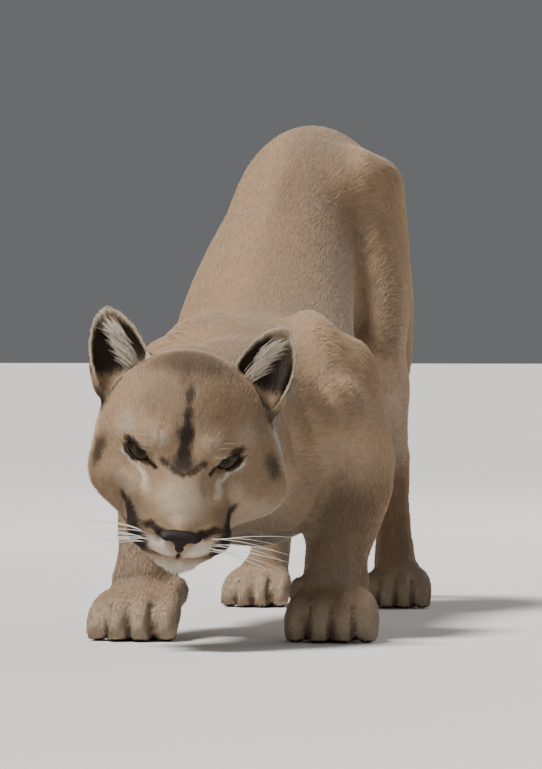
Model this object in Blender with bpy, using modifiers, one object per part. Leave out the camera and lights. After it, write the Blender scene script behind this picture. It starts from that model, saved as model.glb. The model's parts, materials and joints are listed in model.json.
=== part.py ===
"""A cougar, life size, as a still museum model: low on its forelegs, head down, hindquarters raised.

Metres, +Z up. The animal faces -Y, its left side is +X, and its soles are flat on Z = 0.
The body is modelled in a stance frame whose Y = 0 is the middle of the front paws. It is fused
into one surface, parted by thin gaps into named pieces, and moved so that the origin is at the
bottom centre of the whole animal's box.
"""

import math

import bmesh
import bpy
import numpy as np
from mathutils import Euler, Matrix, Vector
from mathutils.bvhtree import BVHTree

# Main places of the body, in the stance frame. Y runs from the front paws (0) to the hind paws.
STRIDE = 0.71
FORE_PAW = Vector((0.0975, 0.0, 0.0))
HIND_PAW = Vector((0.077, STRIDE, 0.0))
WITHERS_HEIGHT = 0.325
CROUP_HEIGHT = 0.535
SHOULDER_BLADE = Vector((0.050, 0.170, 0.312))
SHOULDER = Vector((0.086, 0.045, 0.225))
ELBOW = Vector((0.102, 0.175, 0.175))
WRIST = Vector((0.095, 0.040, 0.082))
HIP = Vector((0.050, STRIDE - 0.010, 0.450))
KNEE = Vector((0.070, STRIDE - 0.150, 0.275))
HOCK = Vector((0.062, STRIDE + 0.080, 0.165))
HIND_FETLOCK = Vector((0.071, STRIDE + 0.020, 0.050))

# The head, in its own frame, whose origin is midway between the eyes.
EYE_LINE = Vector((-0.025, -0.190, 0.192))
HEAD_PITCH = math.radians(34)
HEAD_ROLL = math.radians(6.5)
HEAD_YAW = math.radians(10.5)
MM = 0.001

# Face and ears. Places are (side, forward, up) in the head's frame, in millimetres; angles are degrees.
EYE_PLACE = (38, -1, 0)
EYE_RADIUS = 18.5
LID_RADIUS = 21.6
EYE_YAW = 20.0
EYE_LIFT = 12.0
EYE_SLANT = 20.0
EYE_OPENING = (18.5, 6.4, 5.0)
NOSE_PLACE = (0, 86, -45)
NOSE_HALVES = (23, 11, 14.5)
NOSE_TILT = 10.0
# The nose's share of its full width, from its lowest point to its top.
NOSE_TAPER = ((-1.0, -0.6, -0.2, 0.2, 0.6, 1.0), (0.14, 0.28, 0.50, 0.78, 1.00, 1.10))
MOUTH_LINE = ((0, -63), (10, -62), (20, -66), (30, -68), (38, -66), (44, -62), (49, -59))
PHILTRUM = ((95, -53), (94, -57), (92, -61), (87, -65))
PHILTRUM_RADIUS = 0.0016
MOUTH_RADIUS = 0.0019
EAR_PLACE = (65, -78, 27)
EAR_TURN = (-40, 25.6, -20)
EAR_LENGTH = 0.070
EAR_ROOT = 0.020
EAR_HALF_WIDTH = 0.0285
EAR_WALL = 0.0045

# How finely the forms are fused, and the gap that parts the pieces.
BODY_VOXEL = 0.006
WHOLE_VOXEL = 0.004
GAP = 0.0003
BODY_TRIANGLES = 8200


def clear_scene():
    for old in list(bpy.data.objects):
        bpy.data.objects.remove(old)


def new_object(name, mesh):
    """An object in the cougar's collection."""
    home = bpy.data.collections.get("cougar")
    if home is None:
        home = bpy.data.collections.new("cougar")
        bpy.context.scene.collection.children.link(home)
    made = bpy.data.objects.new(name, mesh)
    home.objects.link(made)
    return made


def head_matrix():
    """From the head's frame to the stance frame: pitched nose down, rolled and turned."""
    turn = Matrix.Rotation(HEAD_YAW, 4, "Z") @ Matrix.Rotation(HEAD_ROLL, 4, "Y")
    return Matrix.Translation(EYE_LINE) @ turn @ Matrix.Rotation(HEAD_PITCH, 4, "X")


def on_head(side, forward, up):
    """A point of the head's frame, given in millimetres."""
    return Vector((side, -forward, up)) * MM


def catmull(a, b, c, d, t):
    """The smooth value between b and c."""
    return 0.5 * (2 * b + (c - a) * t + (2 * a - 5 * b + 4 * c - d) * t * t + (3 * b - a - 3 * c + d) * t**3)


def smooth_rows(rows, steps):
    """The rows of numbers, with steps rows from each one to the next along a smooth curve."""
    rows = np.array(rows, float)
    padded = np.vstack([2 * rows[0] - rows[1], rows, 2 * rows[-1] - rows[-2]])
    made = [
        catmull(*padded[i : i + 4], k / steps) for i in range(len(rows) - 1) for k in range(steps)
    ]
    return np.array([*made, rows[-1]])


def loft(bm, stations, frame=None, sides=20, steps=5, upright=False, egg=0.0, mirror=False):
    """A closed form of oval sections along a smooth path.

    A station is (x, y, z, half width, half depth). Width runs across the body. The section stands
    square to the path, or upright. An egg above 0 makes the upper side narrower.
    """
    rows = smooth_rows(stations, steps)
    centres, halves = rows[:, :3], rows[:, 3:]
    along = np.gradient(centres, axis=0)
    along /= np.linalg.norm(along, axis=1)[:, None]
    first, last = halves[0].min(), halves[-1].min()
    caps = [math.radians(a) for a in (82, 60, 35, 14)]
    rings = [(centres[0] - along[0] * first * math.sin(a), along[0], halves[0] * math.cos(a)) for a in caps]
    rings += list(zip(centres, along, halves))
    rings += [
        (centres[-1] + along[-1] * last * math.sin(a), along[-1], halves[-1] * math.cos(a))
        for a in reversed(caps)
    ]
    angles = np.arange(sides) * 2 * math.pi / sides
    for flip in (1, -1) if mirror else (1,):
        verts = []
        for centre, tangent, (wide, deep) in rings:
            across = np.array([1.0, 0.0, 0.0])
            if upright:
                depth = np.array([0.0, 0.0, 1.0])
            else:
                across = across - tangent * tangent[0]
                across /= np.linalg.norm(across)
                depth = np.cross(across, tangent)
            ring = []
            for angle in angles:
                squeeze = 1 - egg * math.cos(angle)
                point = centre + across * wide * math.sin(angle) * squeeze + depth * deep * math.cos(angle)
                point = Vector((point[0] * flip, point[1], point[2]))
                ring.append(bm.verts.new(frame @ point if frame else point))
            verts.append(ring)
        for low, high in zip(verts, verts[1:]):
            for i in range(sides):
                j = (i + 1) % sides
                bm.faces.new((low[i], low[j], high[j], high[i]))
        bm.faces.new(verts[0])
        bm.faces.new(reversed(verts[-1]))


def mass(bm, centre, radii, tilt=(0, 0, 0), frame=None, mirror=False, fineness=3):
    """An ellipsoid of muscle, fat or bone. Tilt is in degrees about X, Y and Z."""
    for flip in (1, -1) if mirror else (1,):
        place = Vector((centre[0] * flip, centre[1], centre[2]))
        angles = [math.radians(a) for a in (tilt[0], tilt[1] * flip, tilt[2] * flip)]
        turn = Euler(angles).to_matrix().to_4x4()
        matrix = Matrix.Translation(place) @ turn @ Matrix.Diagonal((*radii, 1))
        matrix = frame @ matrix if frame else matrix
        bmesh.ops.create_icosphere(bm, subdivisions=fineness, radius=1, matrix=matrix)


def mesh_of(bm, name):
    bmesh.ops.recalc_face_normals(bm, faces=bm.faces)
    mesh = bpy.data.meshes.new(name)
    bm.to_mesh(mesh)
    bm.free()
    return mesh


def evaluated_mesh(obj):
    """The mesh as its modifiers leave it; the object is removed."""
    graph = bpy.context.evaluated_depsgraph_get()
    mesh = bpy.data.meshes.new_from_object(obj.evaluated_get(graph))
    bpy.data.objects.remove(obj)
    return mesh


def fused(mesh, voxel):
    """One closed surface round all the overlapping forms."""
    obj = new_object("forms", mesh)
    remesh = obj.modifiers.new("fuse", "REMESH")
    remesh.mode = "VOXEL"
    remesh.voxel_size = voxel
    return evaluated_mesh(obj)


class Surface:
    """A mesh's points and edges as arrays, for smoothing."""

    def __init__(self, mesh):
        self.mesh = mesh
        count = len(mesh.vertices)
        self.points = np.empty(count * 3, np.float32)
        mesh.vertices.foreach_get("co", self.points)
        self.points = self.points.reshape(-1, 3).astype(float)
        ends = np.empty(len(mesh.edges) * 2, np.int32)
        mesh.edges.foreach_get("vertices", ends)
        self.ends = ends.reshape(-1, 2)
        self.degree = np.bincount(self.ends.ravel(), minlength=count)[:, None]

    def pull(self):
        """From each point to the middle of its neighbours."""
        a, b = self.ends.T
        total = np.stack(
            [
                np.bincount(a, self.points[b, k], len(self.points))
                + np.bincount(b, self.points[a, k], len(self.points))
                for k in range(3)
            ],
            axis=1,
        )
        return total / self.degree - self.points

    def store(self):
        self.mesh.vertices.foreach_set("co", self.points.astype(np.float32).ravel())
        self.mesh.update()

    def normals(self):
        self.store()
        found = np.empty(len(self.points) * 3, np.float32)
        self.mesh.vertex_normals.foreach_get("vector", found)
        return found.reshape(-1, 3).astype(float)


def fill_creases(mesh, rounds, strength=0.6):
    """Moves only hollow places, and only outwards, so that muscles run into each other."""
    surface = Surface(mesh)
    for _ in range(rounds):
        outward = surface.normals()
        pull = surface.pull()
        lift = (pull * outward).sum(axis=1, keepdims=True)
        surface.points += outward * np.maximum(lift, 0) * strength
    surface.store()


def even_out(mesh, rounds, strength=0.5):
    """Takes the small steps off a surface, and swells it back by as much as it shrank."""
    surface = Surface(mesh)
    for _ in range(rounds):
        surface.points += surface.pull() * strength
        surface.points -= surface.pull() * strength * 1.03
    surface.store()


# The body's main forms.


def add_trunk(bm):
    """Rib cage, belly, loins and rump: (y, middle, top, bottom, half width) of upright sections."""
    sections = (
        (0.005, 0.000, 0.285, 0.118, 0.068),
        (0.080, -0.002, 0.314, 0.092, 0.088),
        (0.160, -0.006, WITHERS_HEIGHT, 0.086, 0.098),
        (0.250, -0.014, 0.334, 0.096, 0.103),
        (0.340, -0.024, 0.366, 0.128, 0.103),
        (0.425, -0.033, 0.408, 0.176, 0.099),
        (0.500, -0.034, 0.450, 0.230, 0.089),
        (0.570, -0.030, 0.489, 0.280, 0.079),
        (0.630, -0.025, 0.519, 0.318, 0.080),
        (0.690, -0.017, CROUP_HEIGHT, 0.342, 0.086),
        (0.750, -0.007, 0.522, 0.366, 0.073),
        (0.790, -0.003, 0.492, 0.395, 0.058),
    )
    stations = [(x, y, (top + low) / 2, wide, (top - low) / 2) for y, x, top, low, wide in sections]
    loft(bm, stations, sides=28, upright=True, egg=0.10)
    # The spine's low ridge over the loins, and the hip bones beside it.
    spine = [
        (-0.034, 0.44, 0.388, 0.020, 0.026),
        (-0.030, 0.57, 0.464, 0.020, 0.026),
        (-0.017, 0.69, 0.512, 0.024, 0.022),
    ]
    loft(bm, spine)
    for middle in (0.037, -0.053):
        mass(bm, (middle, 0.650, 0.456), (0.038, 0.066, 0.052), tilt=(22, 0, 0))
    # Breast muscles between the forelegs.
    mass(bm, (0.035, 0.020, 0.160), (0.045, 0.050, 0.060), mirror=True)


def add_neck(bm):
    stations = (
        (0.000, 0.160, 0.218, 0.086, 0.096),
        (-0.004, 0.070, 0.212, 0.088, 0.096),
        (-0.010, -0.010, 0.209, 0.085, 0.093),
        (-0.018, -0.080, 0.206, 0.079, 0.084),
    )
    loft(bm, stations, sides=24, upright=True)


def add_foreleg(bm):
    """Shoulder blade, upper arm and forearm of both sides."""
    x, y, z = SHOULDER_BLADE
    loft(
        bm,
        [
            (x, y, z - 0.022, 0.030, 0.046),
            (x + 0.016, y - 0.050, z - 0.050, 0.038, 0.060),
            (SHOULDER.x - 0.006, SHOULDER.y + 0.010, SHOULDER.z - 0.004, 0.040, 0.050),
        ],
        mirror=True,
    )
    loft(
        bm,
        [
            (*SHOULDER, 0.040, 0.046),
            (0.098, 0.112, 0.200, 0.042, 0.056),
            (ELBOW.x, ELBOW.y, ELBOW.z, 0.038, 0.042),
        ],
        mirror=True,
    )
    # The triceps fills the corner between the shoulder blade and the elbow.
    mass(bm, (0.088, 0.135, 0.238), (0.044, 0.078, 0.066), tilt=(30, 0, 0), mirror=True)
    loft(
        bm,
        [
            (ELBOW.x, ELBOW.y - 0.008, ELBOW.z - 0.004, 0.038, 0.039),
            (0.101, 0.128, 0.150, 0.041, 0.042),
            (0.098, 0.080, 0.116, 0.037, 0.036),
            (WRIST.x, WRIST.y, WRIST.z, 0.033, 0.029),
            (FORE_PAW.x, 0.022, 0.055, 0.035, 0.028),
        ],
        mirror=True,
    )
    # The point of the elbow.
    mass(bm, (ELBOW.x + 0.002, ELBOW.y + 0.020, ELBOW.z + 0.010), (0.018, 0.022, 0.024), mirror=True)


def add_hindleg(bm):
    """Thigh, shank and hind foot of both sides."""
    loft(
        bm,
        [
            (HIP.x, HIP.y - 0.005, HIP.z + 0.015, 0.036, 0.070),
            (0.058, 0.675, 0.385, 0.037, 0.084),
            (0.066, 0.625, 0.330, 0.034, 0.066),
            (*KNEE, 0.029, 0.042),
        ],
        mirror=True,
    )
    # The hamstrings run from the seat bone down to the shank.
    loft(
        bm,
        [
            (0.040, 0.775, 0.450, 0.026, 0.034),
            (0.056, 0.765, 0.375, 0.030, 0.046),
            (0.066, 0.715, 0.295, 0.028, 0.044),
            (0.070, 0.685, 0.245, 0.022, 0.030),
        ],
        mirror=True,
    )
    loft(
        bm,
        [
            (KNEE.x, KNEE.y + 0.012, KNEE.z - 0.010, 0.029, 0.040),
            (0.070, 0.640, 0.246, 0.029, 0.042),
            (0.066, 0.710, 0.210, 0.023, 0.030),
            (HOCK.x, HOCK.y - 0.014, HOCK.z + 0.004, 0.019, 0.022),
        ],
        mirror=True,
    )
    # The tendon over the heel, and the heel bone.
    loft(
        bm,
        [(0.065, 0.710, 0.240, 0.012, 0.014), (HOCK.x, HOCK.y + 0.008, HOCK.z + 0.022, 0.012, 0.014)],
        mirror=True,
    )
    mass(bm, (HOCK.x, HOCK.y, HOCK.z), (0.020, 0.024, 0.028), tilt=(25, 0, 0), mirror=True)
    loft(
        bm,
        [
            (*HOCK, 0.020, 0.023),
            (0.065, 0.767, 0.108, 0.019, 0.020),
            (*HIND_FETLOCK, 0.024, 0.021),
            (HIND_PAW.x, HIND_PAW.y + 0.002, 0.034, 0.028, 0.020),
        ],
        mirror=True,
    )


def tail_stations():
    """(x, y, z, half width, half depth) from the root to the tip."""
    return (
        (0.000, 0.765, 0.476, 0.036, 0.034),
        (0.000, 0.815, 0.452, 0.030, 0.029),
        (-0.002, 0.858, 0.400, 0.0260, 0.0260),
        (-0.006, 0.885, 0.320, 0.0245, 0.0245),
        (-0.012, 0.903, 0.235, 0.0240, 0.0240),
        (-0.020, 0.930, 0.158, 0.0240, 0.0240),
        (-0.032, 0.985, 0.092, 0.0240, 0.0240),
        (-0.045, 1.065, 0.060, 0.0245, 0.0245),
        (-0.055, 1.150, 0.062, 0.0250, 0.0250),
        (-0.060, 1.225, 0.090, 0.0210, 0.0210),
    )


def add_tail(bm):
    loft(bm, tail_stations(), sides=16)


# Paws.


def add_paw(bm, place, width, length, yaw, mirror_side):
    """Four toes, the knuckles over them and the pad under the palm, on one foot."""
    toe = width * 0.142
    flip = mirror_side
    frame = Matrix.Translation((place.x * flip, place.y, 0))
    frame = frame @ Matrix.Rotation(math.radians(yaw * flip), 4, "Z")
    mass(bm, (0, length * 0.10, toe * 2.5), (width * 0.41, length * 0.34, toe * 2.1), frame=frame)
    mass(bm, (0, length * 0.16, toe * 1.0), (width * 0.34, length * 0.26, toe * 1.35), frame=frame)
    spread = (-0.355, -0.125, 0.125, 0.355)
    reach = (-0.30, -0.42, -0.43, -0.33)
    for across, ahead in zip(spread, reach):
        x = across * width
        y = ahead * length
        loft(
            bm,
            [
                (x * 0.80, y + length * 0.36, toe * 2.9, toe * 0.95, toe * 1.1),
                (x * 0.95, y + length * 0.20, toe * 2.45, toe, toe * 1.15),
                (x * 1.02, y + length * 0.06, toe * 1.75, toe * 1.02, toe * 1.12),
                (x * 1.04, y - length * 0.02, toe * 0.88, toe * 0.92, toe * 0.98),
            ],
            frame=frame,
            sides=14,
            steps=4,
        )


def add_paws(bm):
    for side in (1, -1):
        add_paw(bm, FORE_PAW, width=0.095, length=0.118, yaw=4, mirror_side=side)
        add_paw(bm, HIND_PAW, width=0.078, length=0.105, yaw=3, mirror_side=side)
        # The dewclaw's pad, on the inner side of the wrist.
        mass(bm, (side * (FORE_PAW.x - 0.036), 0.012, 0.048), (0.011, 0.014, 0.016))


# The head's forms, in millimetres.


def scaled(rows):
    return [[value * MM for value in row] for row in rows]


def add_head(bm):
    """Skull, face and lower jaw as one form of (forward, top, bottom, half width) sections."""
    sections = (
        (-125, 36, -60, 58),
        (-95, 58, -80, 77),
        (-60, 69, -88, 87),
        (-28, 63, -90, 87),
        (0, 46, -90, 76),
        (18, 26, -88, 66),
        (35, 10, -87, 56),
        (52, -3, -88, 50),
        (66, -14, -87, 43),
        (75, -21, -81, 35),
        (80, -30, -70, 20),
    )
    rows = [(0, -fwd, (top + low) / 2, wide, (top - low) / 2) for fwd, top, low, wide in sections]
    loft(bm, scaled(rows), frame=head_matrix(), sides=28, upright=True, egg=0.12)


# Presses of the hand on the head: (place, reach) as (side, forward, up), and the way it moves.
FACE_PRESSES = (
    # Hollows of the eyes, and the brow over them.
    ((44, 24, -2), (26, 30, 17), (0, -8, 0)),
    ((34, 18, 24), (28, 26, 18), (0, 6, 2)),
    # Cheekbone, and the cheek's fur at the back of the jaw.
    ((60, 8, -28), (28, 30, 24), (3, 6, 0)),
    ((75, -25, -59), (48, 60, 44), (11, 0, -6)),
    # The sides of the nose bridge and of the muzzle behind the whisker pads.
    ((29, 42, -8), (15, 32, 16), (-6, 0, -3)),
    ((52, 31, -42), (22, 22, 30), (-5, -2, 0)),
    # Whisker pads and the lips' corners.
    ((31, 62, -50), (25, 26, 24), (8, 5, 0)),
    ((42, 28, -64), (22, 24, 18), (2, 0, 0)),
    # The lips draw in under the nose; the chin stands out.
    ((0, 77, -63), (34, 20, 12), (0, -3, 0)),
    ((0, 68, -82), (30, 26, 20), (0, 9, -4)),
    # The step from forehead to nose bridge, and the crown's shallow middle furrow.
    ((0, 24, 14), (26, 26, 22), (0, -4, -3)),
    ((0, -30, 70), (14, 60, 30), (0, 0, -2.5)),
)


def add_lids(bm):
    """The lids' swelling over each eyeball."""
    for side in (1, -1):
        place = on_head(EYE_PLACE[0] * side, EYE_PLACE[1], EYE_PLACE[2])
        mass(bm, place, [LID_RADIUS * MM] * 3, frame=head_matrix())


def press(mesh, frame, presses):
    """Shapes the surface with soft touches, on both sides alike."""
    surface = Surface(mesh)
    inverse = np.array(frame.inverted())
    local = surface.points @ inverse[:3, :3].T + inverse[:3, 3]
    local = local / MM * (1, -1, 1)
    moved = np.zeros_like(local)
    for place, reach, shift in presses:
        for side in (1, -1):
            far = (local - np.array(place) * (side, 1, 1)) / reach
            touch = np.clip(1 - (far**2).sum(axis=1, keepdims=True), 0, 1) ** 2
            moved += touch * np.array(shift) * (side, 1, 1) * (0.5 if place[0] == 0 else 1)
    local = (local + moved) * (1, -1, 1) * MM
    forward = np.array(frame)
    surface.points = local @ forward[:3, :3].T + forward[:3, 3]
    surface.store()


def whole_body():
    """The fused surface of everything but the ears, eyes and nose."""
    bm = bmesh.new()
    add_trunk(bm)
    add_neck(bm)
    add_foreleg(bm)
    add_hindleg(bm)
    add_tail(bm)
    add_head(bm)
    body = fused(mesh_of(bm, "body_forms"), BODY_VOXEL)
    fill_creases(body, 60)
    press(body, head_matrix(), FACE_PRESSES)
    bm = bmesh.new()
    bm.from_mesh(body)
    add_paws(bm)
    add_lids(bm)
    whole = fused(mesh_of(bm, "all_forms"), WHOLE_VOXEL)
    fill_creases(whole, 8)
    even_out(whole, 2)
    return whole


# Parting the whole into named pieces.

def apply_boolean(mesh, cutter, operation, own_crossings=False):
    """The mesh cut by the cutter's mesh, as a new mesh."""
    target = new_object("target", mesh)
    tool = new_object("tool", cutter)
    modifier = target.modifiers.new("cut", "BOOLEAN")
    modifier.operation = operation
    modifier.object = tool
    modifier.use_self = own_crossings
    made = evaluated_mesh(target)
    bpy.data.objects.remove(tool)
    return largest(made)


def largest(mesh):
    """Only the mesh's largest closed surface."""
    bm = bmesh.new()
    bm.from_mesh(mesh)
    bm.verts.ensure_lookup_table()
    seen, islands = set(), []
    for start in bm.verts:
        if start in seen:
            continue
        island, queue = [], [start]
        seen.add(start)
        while queue:
            vert = queue.pop()
            island.append(vert)
            for edge in vert.link_edges:
                other = edge.other_vert(vert)
                if other not in seen:
                    seen.add(other)
                    queue.append(other)
        islands.append(island)
    islands.sort(key=len, reverse=True)
    for island in islands[1:]:
        bmesh.ops.delete(bm, geom=island, context="VERTS")
    bmesh.ops.triangulate(bm, faces=bm.faces)
    bm.to_mesh(mesh)
    bm.free()
    return mesh


def block(centre, halves, frame=None, power=None, grow=0.0):
    """A closed region: a box, or a rounded one when a power is given. Grow widens it all round."""
    bm = bmesh.new()
    if power:
        bmesh.ops.create_icosphere(bm, subdivisions=2, radius=1)
        for vert in bm.verts:
            vert.co /= sum(abs(v) ** power for v in vert.co) ** (1 / power)
    else:
        bmesh.ops.create_cube(bm, size=2)
    size = [half + grow for half in halves]
    bmesh.ops.transform(bm, matrix=Matrix.Translation(centre) @ Matrix.Diagonal((*size, 1)), verts=bm.verts)
    if frame:
        bmesh.ops.transform(bm, matrix=frame, verts=bm.verts)
    return mesh_of(bm, "region")


def limb_block(start, end, wide, deep, grow=0.0):
    """A box along a limb, from one end of it to the other, wide across the body."""
    along = end - start
    depth = along.cross(Vector((1, 0, 0))).normalized()
    across = depth.cross(along).normalized()
    turn = Matrix((across, depth, along.normalized())).transposed().to_4x4()
    middle = Matrix.Translation((start + end) / 2) @ turn
    return block((0, 0, 0), (wide, deep, along.length / 2), frame=middle, grow=grow)


def jaw_block(grow=0.0):
    """Everything under the line of the mouth, as a slab across the head."""
    profile = [(130, -63), (76, -62), (60, -67), (38, -65), (18, -60), (-28, -60), (-60, -130), (130, -130)]
    bm = bmesh.new()
    rings = []
    for side in (-120, 120):
        rings.append([bm.verts.new(on_head(side, fwd, up + grow / MM)) for fwd, up in profile])
    bm.faces.new(rings[0])
    bm.faces.new(reversed(rings[1]))
    for i in range(len(profile)):
        j = (i + 1) % len(profile)
        bm.faces.new((rings[0][j], rings[0][i], rings[1][i], rings[1][j]))
    bmesh.ops.transform(bm, matrix=head_matrix(), verts=bm.verts)
    return mesh_of(bm, "jaw_region")


def tail_root_region(grow=0.0):
    """A sleeve round the tail's first length."""
    bm = bmesh.new()
    wall = 0.010 + grow
    stations = [(x, y, z, wide + wall, deep + wall) for x, y, z, wide, deep in tail_stations()[1:5]]
    loft(bm, stations, sides=12, steps=2)
    return mesh_of(bm, "tail_root_region")


def regions():
    """(name, function of the growth that makes its region), in the order in which they are taken off."""
    found = [
        ("lower_jaw", jaw_block),
        ("head", lambda grow: block((0, -0.05, 0.04), (0.2, 0.15, 0.16), frame=head_matrix(), grow=grow)),
    ]

    def limb(name, start, end, wide, deep):
        found.append((name, lambda grow: limb_block(Vector(start), Vector(end), wide, deep, grow)))

    def rounded(name, centre, halves, power):
        found.append((name, lambda grow: block(centre, halves, power=power, grow=grow)))

    def beyond(name, here, ahead, wide=0.25, far=0.5):
        """Everything past a plane that stands square to the way from here to ahead."""
        limb(name, here, here + (ahead - here).normalized() * far, wide, wide)

    for word, side in (("left", 1), ("right", -1)):

        def at(x, y, z, side=side):
            return Vector((x * side, y, z))

        fore = f"foreleg_{word}_"
        limb(fore + "paw", at(0.094, 0.034, 0.068), at(0.098, -0.10, -0.20), 0.075, 0.10)
        limb(fore + "forearm", at(0.100, 0.135, 0.150), at(0.093, -0.02, 0.032), 0.047, 0.060)
        rounded(fore + "shoulder", at(0.150, 0.115, 0.225), (0.100, 0.125, 0.125), 2.6)
        hind = f"hindleg_{word}_"
        limb(hind + "paw", at(0.075, STRIDE + 0.022, 0.060), at(0.076, STRIDE - 0.045, -0.15), 0.06, 0.11)
        limb(hind + "foot", at(0.071, STRIDE + 0.070, 0.148), at(0.075, STRIDE + 0.01, 0.02), 0.05, 0.05)
        limb(hind + "shank", at(0.071, STRIDE - 0.070, 0.250), at(0.071, STRIDE + 0.15, 0.13), 0.05, 0.062)
        rounded(hind + "thigh", at(0.130 - 0.012 * side, STRIDE - 0.02, 0.350), (0.100, 0.150, 0.155), 2.8)
    tail = [Vector(row[:3]) for row in tail_stations()]
    beyond("tail_tip", tail[7], tail[8])
    beyond("tail_lower", tail[5], tail[6], wide=0.2)
    beyond("tail_upper", tail[3], tail[4], wide=0.12)
    found.append(("tail_root", tail_root_region))
    found.append(("neck", lambda grow: block((0, -0.30, 0.2), (0.3, 0.345, 0.4), grow=grow)))
    found.append(("chest", lambda grow: block((0, 0.0, 0.2), (0.3, 0.28, 0.4), grow=grow)))
    found.append(("loins", lambda grow: block((0, 0.1, 0.2), (0.3, 0.43, 0.4), grow=grow)))
    return found


def coarser(mesh, triangles):
    """Fewer triangles, kept finest on the face and the feet."""
    obj = new_object("coarse", mesh)
    group = obj.vertex_groups.new(name="detail")
    inverse = head_matrix().inverted()
    for vert in mesh.vertices:
        spot = inverse @ vert.co / MM
        face = max(0.0, 1 - Vector((spot.x / 85, (spot.y + 45) / 75, (spot.z + 30) / 80)).length ** 4)
        foot = 0.6 if vert.co.z < 0.055 and vert.co.y < STRIDE + 0.05 else 0.0
        group.add([vert.index], 1 - max(face, foot, 0.15), "REPLACE")
    decimate = obj.modifiers.new("coarse", "DECIMATE")
    decimate.vertex_group = group.name
    decimate.vertex_group_factor = 6.0
    decimate.ratio = triangles / sum(len(face.vertices) - 2 for face in mesh.polygons)
    decimate.use_collapse_triangulate = True
    return evaluated_mesh(obj)


def part_body(mesh):
    """Takes each region's piece off the whole, and leaves the rump."""
    rest = mesh
    for name, region in regions():
        piece = apply_boolean(rest.copy(), region(grow=0.0), "INTERSECT")
        new_object(name, piece)
        rest = apply_boolean(rest, region(grow=GAP), "DIFFERENCE")
    new_object("rump", rest)


# Eyes, nose, mouth and ears.

def eye_frame(side):
    """At an eyeball's centre; its -Y looks out of the lids, its X runs from corner to corner."""
    place = Matrix.Translation(on_head(EYE_PLACE[0] * side, EYE_PLACE[1], EYE_PLACE[2]))
    turn = Euler([math.radians(a) for a in (-EYE_LIFT, EYE_SLANT * -side, EYE_YAW * side)], "YXZ")
    return head_matrix() @ place @ turn.to_matrix().to_4x4()


def eyeball(side, grow=0.0):
    bm = bmesh.new()
    bmesh.ops.create_icosphere(bm, subdivisions=3, radius=EYE_RADIUS * MM + grow, matrix=eye_frame(side))
    return mesh_of(bm, "eyeball")


def eye_slit(side):
    """The almond between the lids, as a cutter that widens outwards."""
    half, upper, lower = EYE_OPENING
    rim = []
    for i in range(16):
        angle = 2 * math.pi * i / 16
        x = math.cos(angle)
        z = math.sin(angle)
        rim.append((x * half, (upper if z > 0 else lower) * math.copysign(abs(z) ** 1.25, z)))
    bm = bmesh.new()
    rings = []
    for depth, spread in ((6, 0.92), (40, 1.35)):
        rings.append([bm.verts.new(Vector((x * spread, -depth, z * spread)) * MM) for x, z in rim])
    bm.faces.new(rings[0])
    bm.faces.new(reversed(rings[1]))
    for i in range(16):
        j = (i + 1) % 16
        bm.faces.new((rings[0][j], rings[0][i], rings[1][i], rings[1][j]))
    bmesh.ops.transform(bm, matrix=eye_frame(side), verts=bm.verts)
    return mesh_of(bm, "eye_slit")


def nose_pad(grow=0.0):
    """The nose leather: broad above, narrow where it meets the lip."""
    bm = bmesh.new()
    bmesh.ops.create_icosphere(bm, subdivisions=3, radius=1)
    wide, deep, tall = (half * MM + grow for half in NOSE_HALVES)
    for vert in bm.verts:
        x, y, z = vert.co
        across = math.copysign(abs(x) ** 0.8, x) * wide * float(np.interp(z, *NOSE_TAPER))
        vert.co = Vector((across, y * deep, z * tall))
    place = Matrix.Translation(on_head(*NOSE_PLACE)) @ Matrix.Rotation(math.radians(NOSE_TILT), 4, "X")
    bmesh.ops.transform(bm, matrix=head_matrix() @ place, verts=bm.verts)
    return mesh_of(bm, "nose")


def nostrils():
    bm = bmesh.new()
    hole = (0.0050, 0.009, 0.0036)
    mass(bm, on_head(10, 95, -44), hole, tilt=(0, 30, -25), frame=head_matrix(), fineness=2)
    mass(bm, on_head(-10, 95, -44), hole, tilt=(0, -30, 25), frame=head_matrix(), fineness=2)
    return mesh_of(bm, "nostrils")


def tube(points, radius, name):
    """A round bar through the points, as a closed mesh."""
    curve = bpy.data.curves.new(name, "CURVE")
    curve.dimensions = "3D"
    curve.bevel_depth = radius
    curve.bevel_resolution = 1
    curve.use_fill_caps = True
    spline = curve.splines.new("POLY")
    spline.points.add(len(points) - 1)
    for target, point in zip(spline.points, points):
        target.co = (*point, 1)
    mesh = evaluated_mesh(new_object(name, curve))
    bm = bmesh.new()
    bm.from_mesh(mesh)
    bmesh.ops.remove_doubles(bm, verts=bm.verts, dist=0.00001)
    bmesh.ops.recalc_face_normals(bm, faces=bm.faces)
    bm.to_mesh(mesh)
    bm.free()
    return mesh


def mouth_groove(mesh):
    """The line between the lips, laid on the surface of the face."""
    tree = BVHTree.FromPolygons([v.co for v in mesh.vertices], [p.vertices for p in mesh.polygons])
    frame = head_matrix()
    points = []
    for side in (-1, 1):
        half = []
        for across, up in MOUTH_LINE[1 if side > 0 else 0 :]:
            start = frame @ on_head(across * side * 1.6, 130, up)
            inward = frame @ on_head(across * side * 0.8, 0, up) - start
            hit = tree.ray_cast(start, inward.normalized())[0]
            half.append(hit)
        points = points + half if side > 0 else list(reversed(half))
    return tube(points, MOUTH_RADIUS, "mouth_groove")


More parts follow.
